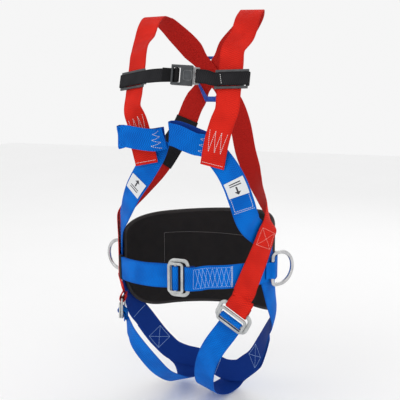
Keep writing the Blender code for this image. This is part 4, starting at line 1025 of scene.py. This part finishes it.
def buckle(prefix, centre, axes, look, body):
    """Pass-through buckle: an outer ring and a three-bar frame, each bent from flat-sided bar."""
    along, across, outward = axes
    band = RING_BAND
    path = rounded_box(RING_LONG - band, RING_SHORT - band, 9.3)
    ring = swept(prefix + "_ring_look", dense(path, 3), across, along, centre, band, RING_THICK,
                 look, 4.5, 24)
    shown_as(ring, "harness", [prefix + "_ring"])
    middle = centre + along * FRAME_SHIFT + outward * FRAME_LIFT
    path = rounded_box(FRAME_LONG - FRAME_BAND, FRAME_SHORT - FRAME_BAND, 4.6)
    rim = swept(prefix + "_frame_rim", dense(path, 3), across, along, middle, FRAME_BAND, FRAME_THICK,
                look, 4.5, 24)
    reach = FRAME_LONG / 2 - FRAME_BAND * 0.6
    bar = swept(prefix + "_frame_bar", [(x, 0.0) for x in np.linspace(-reach, reach, 12)], across, along,
                middle, FRAME_BAR, FRAME_THICK - 0.2, look, 4.0, 20, closed=False)
    shown_as(joined(prefix + "_frame_look", [rim, bar]), body, [prefix + "_frame"])


def wire(name, node, body, path, thick, centre, right, up, look):
    """A round wire ring in place of its CAD node."""
    made = swept(name, dense(path, 4), right, up, centre, thick, thick, look, 2.0, 20)
    return shown_as(made, body, [node])


def hollow_band(name, node, body, route, only, wide, deep, wall, look):
    """A flat fabric tube round a strap: an outer and an inner loop, joined at both ends."""
    middle, normal, across = across_route(route)
    turn = np.linspace(0, 2 * math.pi, 40, endpoint=False)
    cos, sin = np.cos(turn), np.sin(turn)
    loops = []
    for w, d in ((wide + 2 * wall, deep + 2 * wall), (wide, deep)):
        x = np.sign(cos) * np.abs(cos) ** 0.16 * w / 2
        y = np.sign(sin) * np.abs(sin) ** 0.5 * d / 2
        flat = middle[:, None] + across[:, None] * x[None, :, None]
        weight = np.repeat(route[:, 6:7], 40, axis=1)
        flat = pull_to_hip(flat, weight, np.repeat(route[:, 7:8], 40, axis=1))
        loops.append((flat + normal[:, None] * y[None, :, None])[only])
    rows = len(loops[0])
    ring = np.stack([loops[0], loops[1]], axis=0)
    along = length_along(route)[only] - length_along(route)[only][0]
    x = np.sign(cos) * np.abs(cos) ** 0.16 * wide / 2
    # the outer loop is marked 1; the inner loop is marked 0, so it gets the painted shade of an inner face
    web = np.stack([np.broadcast_to(x, (2, rows, 40)), np.broadcast_to(along[None, :, None], (2, rows, 40)),
                    np.broadcast_to(np.array([1.0, 0.0])[:, None, None], (2, rows, 40))], -1)
    outer = grid_faces(rows, 40, loop_columns=True)
    inner = outer + rows * 40
    k = np.arange(40)
    ends = []
    for row in (0, rows - 1):
        a, b = row * 40 + k, row * 40 + (k + 1) % 40
        ends.append(np.stack([a, b, b + rows * 40, a + rows * 40], 1))
    made = make_mesh(name, ring, np.vstack([outer, inner] + ends).tolist(), look, web)
    shown_as(made, body, [node])
    return made


def loop_route(side):
    """Textile attachment loop, folded from webbing and sewn in at the body strap's top end."""
    if side < 0:
        inner = [(-28, -98.2, 246), (-35, -98.8, 245), (-40, -102, 244), (-43, -107, 243.5),
                 (-48, -111.2, 243), (-58, -112.6, 243), (-80, -113.5, 245), (-99, -115, 248)]
        tip, radius = (-104, -121, 249), 6.0
        outer = [(-97, -128, 249), (-76, -130, 247), (-56, -126, 244), (-42, -115, 242),
                 (-35, -105.5, 243), (-28, -102.4, 245)]
    else:
        inner = [(64, -98.5, 235), (52, -98.3, 238), (40, -98.2, 242), (22, -101, 249), (4, -105, 256)]
        tip, radius = (-6, -113.5, 258), 7.0
        outer = [(4, -121, 251), (22, -119, 243), (34, -110, 237), (42, -102.9, 235),
                 (52, -101.7, 233), (64, -101.7, 230)]
    stations = [at(x, y, z, 0, 1, 0) for x, y, z in inner]
    for k in range(5):
        turn = math.radians(60 - 120 * k / 4)
        place = (tip[0] - radius * math.cos(turn), tip[1] + radius * math.sin(turn), tip[2] - k)
        stations.append(at(*place, -math.cos(turn), math.sin(turn), 0))
    return smooth_route(stations + [at(x, y, z, 0, -1, 0) for x, y, z in outer])


def tab_route(side):
    """Short webbing sewn to the belt in front of and behind a side ring's bar."""
    angle = side * SIDE_RING_ANGLE[side]
    bar, _, outward = side_ring_axes(side)
    forward = np.array([outward[1], -outward[0], 0.0]) * side
    loop = WIRE / 2 + THICK / 2 + GAP / 2
    height = belt_height(angle) + SIDE_RING_RAISED[side] * 0.7
    bar[2] = height
    hump = on_plane(bar, forward, outward, arc_rows(0.0, 0.0, loop, 172, 8, 9))
    behind = [hip(angle + side * turn, height, OVER_BELT) for turn in (10.0, 7.0, 4.6)]
    return smooth_route(behind + hump + [hip(angle - side * turn, height, OVER_BELT) for turn in (4.4, 6.2)])


def strap_piece(name, route, width, look, body="harness", narrow=None, tail=0.0):
    """A strap shown in place of its CAD node; its middle surface is returned."""
    strap = strap_middle(route, width, narrow)
    made = skin(strap, name + "_look", look, tail=tail)
    shown_as(made, body, [name])
    return strap


def near(strap, x, y, z, after=0.0):
    """Distance along a strap of the row nearest to a place, past a first stretch."""
    away = np.linalg.norm(strap["points"][:, COLUMNS // 2] - np.array([x, y, z]), axis=1)
    away = away + 1000.0 * (strap["along"][:, 0] < after)
    return float(strap["along"][np.argmin(away), 0])


def build():
    """Every visible piece, its material and what it rides on."""
    # the third colour of each webbing is its inner face: the same webbing painted darker as shade
    red = webbing_surface("red_webbing_look",
                          (0.80, 0.024, 0.012), (0.44, 0.010, 0.006), (0.46, 0.014, 0.010))
    blue = webbing_surface("blue_webbing_look", (0.0, 0.19, 0.74), (0.0, 0.070, 0.38), (0.006, 0.040, 0.26))
    black = webbing_surface("black_webbing_look", (0.030, 0.030, 0.033), (0.010, 0.010, 0.011),
                            (0.012, 0.012, 0.013), CHEST_WEB / 2, 0.75)
    sleeve = webbing_surface("sleeve_look", (0.022, 0.022, 0.024), (0.008, 0.008, 0.009), (0.01, 0.01, 0.01))
    white = thread_surface("white_thread", (0.62, 0.60, 0.58), (0.9, 0.9, 0.9))
    pale = thread_surface("pale_blue_thread", (0.20, 0.40, 0.75), (0.42, 0.60, 0.9))
    rosy = thread_surface("rosy_thread", (0.72, 0.22, 0.18), (0.9, 0.42, 0.36))
    grey = thread_surface("grey_thread", (0.16, 0.15, 0.15), (0.30, 0.29, 0.28))
    zinc = metal_surface("zinc_look", (0.40, 0.415, 0.415), (0.62, 0.63, 0.62), 0.36, 0.00006, 700.0)
    steel = metal_surface("bright_wire_look", (0.42, 0.42, 0.43), (0.66, 0.66, 0.66), 0.22, 0.00003, 500.0)
    plastic = plastic_surface("dark_plastic_look", (0.030, 0.034, 0.038), (0.060, 0.066, 0.072))
    panel = plastic_surface("panel_look", (0.085, 0.090, 0.095), (0.15, 0.155, 0.16), 0.5)
    clear = plastic_surface("latch_look", (0.20, 0.205, 0.21), (0.36, 0.36, 0.365), 0.4)
    shield = plastic_surface("blue_plastic_look", (0.008, 0.05, 0.32), (0.015, 0.09, 0.48), 0.4)

    seat_path = seat_route()
    right = strap_piece("right_shoulder_strap", right_shoulder_route(), WEB, red,
                        narrow=GATHERED)
    left_path = left_shoulder_route()
    left = strap_piece("left_shoulder_strap", left_path, WEB, red, narrow=GATHERED)
    seat = strap_piece("seat_strap", seat_path, WEB, blue)
    belt = strap_piece("belt_webbing", belt_route(), WEB, blue, tail=BELT_TAIL)
    thigh = {}
    for side, word in ((-1, "right"), (1, "left")):
        thigh[side] = strap_piece(word + "_thigh_strap", thigh_route(side, seat_path), WEB, blue,
                                  tail=THIGH_TAIL)
        strap_piece(word + "_ring_tab", tab_route(side), TAB_WIDE, blue)
        loop = strap_piece(word + "_chest_loop", loop_route(side), LOOP_WIDE, blue)
        buckle(word + "_thigh_buckle", *THIGH_BUCKLES[side], zinc, word + "_thigh_frame")
        bar, reach, _ = side_ring_axes(side)
        path = ring_path(SIDE_RING_HEIGHT, SIDE_RING_DEPTH, WIRE, 9.0, 28)
        wire(word + "_side_ring_look", word + "_side_ring", word + "_ring", path, WIRE, bar, reach,
             (0.0, 0.0, 1.0), steel)
        moulded(word + "_strap_slider_look", word + "_strap_slider", "chest_strap", plastic)
        length = loop["along"][-1, 0]
        sewing(word + "_loop_sewing", loop, [zigzag(length - 26, length - 8, -16, 16, 6)], white, "harness")
    buckle("belt_buckle", *BELT_BUCKLE, zinc, "belt_frame")
    path = ring_path(DORSAL_RING_WIDTH, DORSAL_RING_DEPTH, DORSAL_WIRE, 4.5, 28)
    bar = (CROSS[0], CROSS[1] - DORSAL_BAR_BEHIND, CROSS[2])
    wire("dorsal_ring_look", "dorsal_ring", "back_ring", path, DORSAL_WIRE, bar, (0, 1, 0), (1, 0, 0), steel)
    lumbar_pad(pad_surface(), binding_surface(), grey)

    centre, along, up, outward = chest_buckle_axes()
    stations = slider_turn_stations(-1)
    stations += [at(*chest_bow(share), *outward) for share in (0.12, 0.24)]
    stations += on_plane(centre, -along, outward,
                         frame_side_rows(24.0, 40.0, LADDER_AT, 0.0, LADDER_LOOP, -4.2, -7.1))
    strap_piece("right_chest_strap", smooth_route(stations), CHEST_WEB, black, "chest_strap")
    rows = ring_side_rows(LATCH_BAR_AT + 14.0, LATCH_BAR_AT + 16.0, LATCH_BAR_AT, 0.0, LATCH_LOOP, 0.6, -2.3)
    stations = slider_turn_stations(1) + on_plane(centre, along, outward, rows)
    chest = strap_piece("left_chest_strap", smooth_route(stations), CHEST_WEB, black,
                        "chest_strap")
    spot = chest["along"][-1, 0] * 0.46
    sewing("chest_strap_sewing", chest, [[(-9, spot - 2), (9, spot + 2)]], white, "chest_strap")
    moulded("chest_buckle_housing_look", "chest_buckle_housing", "chest_strap", plastic, 0.6)
    moulded("chest_buckle_latch_look", "chest_buckle_latch", "chest_strap", clear)
    moulded("chest_buckle_upper_arm_look", "chest_buckle_upper_arm", "upper_latch_arm", panel)
    moulded("chest_buckle_lower_arm_look", "chest_buckle_lower_arm", "lower_latch_arm", panel)
    raised = rounded_box(15.0, 17.0, 4.0)
    middle = centre + along * 8.0 + outward * 5.3
    rim = swept("chest_buckle_panel", dense(raised, 3), along, up, middle, 1.4, 1.0, panel, 3.0, 12)
    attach(rim, "chest_strap")

    plate = moulded("dorsal_plate_look", "dorsal_plate", "harness", shield, 0.7)
    covered = rows_between(left_path, share_at(left_path, -52, 89, 272), share_at(left_path, -108, 74, 176))
    hollow_band("strap_sleeve_look", "strap_sleeve", "harness", left_path, covered, WEB + 1.6,
                THICK + 2.8, 0.9, sleeve)
    kept = [hip(angle, belt_height(angle), (BELT + OVER_BELT) / 2) for angle in (-56.0, -59.0, -62.0)]
    kept = smooth_route(kept)
    hollow_band("belt_keeper_look", "belt_keeper", "keeper", kept, np.arange(len(kept)), WEB + 2.0,
                THICK + LAYER + 1.4, 1.1, sleeve)
    label = label_surface()
    for word, place in (("left", (109, -100, 160)), ("right", (-90, -93, 153))):
        middle = share_at(seat_path, *place)
        only = rows_between(seat_path, middle - LABEL_HALF, middle + LABEL_HALF)
        strap = strap_middle(seat_path, LABEL_WIDE, lift=THICK / 2 + 0.8, only=only)
        made = skin(strap, word + "_label_look", label, 0.6)
        shown_as(made, "harness", [word + "_label"])

    sew_front(right, left, seat, belt, thigh, white, pale, rosy)


def sew_front(right, left, seat, belt, thigh, white, pale, rosy):
    """Bar tacks, boxes and zigzags where the straps are sewn together."""
    for word, strap in (("right", right), ("left", left)):
        low = 26.0 if word == "left" else 50.0
        lines = [bar_line(5.0, 20.0), zigzag(low, low + 38, -17, 17, 6)]
        sewing(word + "_front_sewing", strap, lines, white, "harness")
    hip_box = near(right, 150, -50, 62)
    back_bar = near(right, 61, 88, 262)
    sewing("right_strap_boxes", right, [box_line(17, hip_box - 16, hip_box + 16),
                                        [(-17, hip_box - 16), (17, hip_box + 16)],
                                        [(17, hip_box - 16), (-17, hip_box + 16)],
                                        bar_line(back_bar, 18), bar_line(back_bar + 70, 18)], rosy, "harness")
    spot = near(belt, 62, -101, -6, 75.0)
    lines = []
    for sign in (-1, 1):
        lines += [[(sign * (17 if k % 2 else -17), spot - 34 + 8.5 * k) for k in range(9)]]
    lines += [box_line(18, spot - 38, spot + 36)]
    bar_at = near(belt, 95, -90, -5, 75.0)
    sewing("belt_sewing", belt, lines, pale, "harness")
    sewing("belt_bars", belt, [bar_line(bar_at, 20.0), bar_line(bar_at + 2.0, 20.0)], white, "harness")
    lines = []
    for place in ((112, 54, -222), (-112, 62, -210)):
        spot = near(seat, *place)
        lines += [box_line(17, spot - 18, spot + 18), [(-17, spot - 18), (17, spot + 18)],
                  [(17, spot - 18), (-17, spot + 18)]]
    lines += [bar_line(near(seat, *place), 19) for place in
              ((150, -2, -105), (-140, 30, -140), (20, 82, -268))]
    sewing("seat_inner_sewing", seat, lines, pale, "harness", 1.3, -THICK / 2)
    low = near(seat, 117, -99, 136)
    lines = [box_line(17, low - 14, low + 14), bar_line(low - 17, 20)]
    sewing("seat_front_sewing", seat, lines, white, "harness")
    for side, word in ((-1, "right"), (1, "left")):
        strap = thigh[side]
        end = strap["along"][-1, 0]
        lines = [box_line(17, 8, 46), [(-17, 8), (17, 46)], [(17, 8), (-17, 46)], bar_line(end - 10, 19)]
        sewing(word + "_thigh_sewing", strap, lines, white, "harness")


def area_light(name, place, target, size, power):
    """A square soft light that looks at a place."""
    data = bpy.data.lights.new(name, "AREA")
    data.size, data.energy = size, power
    made = bpy.data.objects.new(name, data)
    made.location = place
    made.rotation_euler = (Vector(target) - Vector(place)).to_track_quat("-Z", "Y").to_euler()
    bpy.context.scene.collection.objects.link(made)


def studio():
    """Plain pale floor and backdrop, soft lights and the camera."""
    made, shader, start = surface("floor_look")
    grain = noise(start, 3.0)
    feed(shader, start, grain.mix((0.93, 0.93, 0.93), (0.95, 0.95, 0.95)), grain * 0.1 + 0.8, grain, 0.0001)
    across = np.linspace(-1, 1, 13) * 4000.0
    x, y = np.meshgrid(across, across + 1000.0, indexing="ij")
    places = np.stack([x, y, np.full_like(x, -312.0)], -1)
    floor = make_mesh("floor", places, grid_faces(13, 13).tolist()[::-1], made)
    world = bpy.data.worlds.new("soft_world")
    world.use_nodes = True
    back = world.node_tree.nodes["Background"]
    back.inputs["Color"].default_value = (1.0, 1.0, 1.0, 1.0)
    back.inputs["Strength"].default_value = 0.92
    bpy.context.scene.world = world
    area_light("key", (-1.1, -1.6, 1.5), (0, 0, 0.1), 1.2, 6.0)
    area_light("fill", (1.6, -1.0, 0.7), (0, 0, 0.1), 1.4, 2.0)
    area_light("back", (0.3, 1.6, 1.3), (0, 0, 0.1), 1.2, 4.0)
    data = bpy.data.cameras.new("camera")
    data.lens, data.sensor_width = 56.8, 36.0
    camera = bpy.data.objects.new("camera", data)
    target = Vector((0.005, 0.0, 0.116))
    azimuth, elevation, away = math.radians(19.0), math.radians(10.3), 1.25
    place = target + away * Vector((math.sin(azimuth) * math.cos(elevation),
                                    -math.cos(azimuth) * math.cos(elevation), math.sin(elevation)))
    camera.location = place
    camera.rotation_euler = (target - place).to_track_quat("-Z", "Y").to_euler()
    bpy.context.scene.collection.objects.link(camera)
    bpy.context.scene.camera = camera
    bpy.context.scene.view_settings.view_transform = "Standard"


build()
studio()
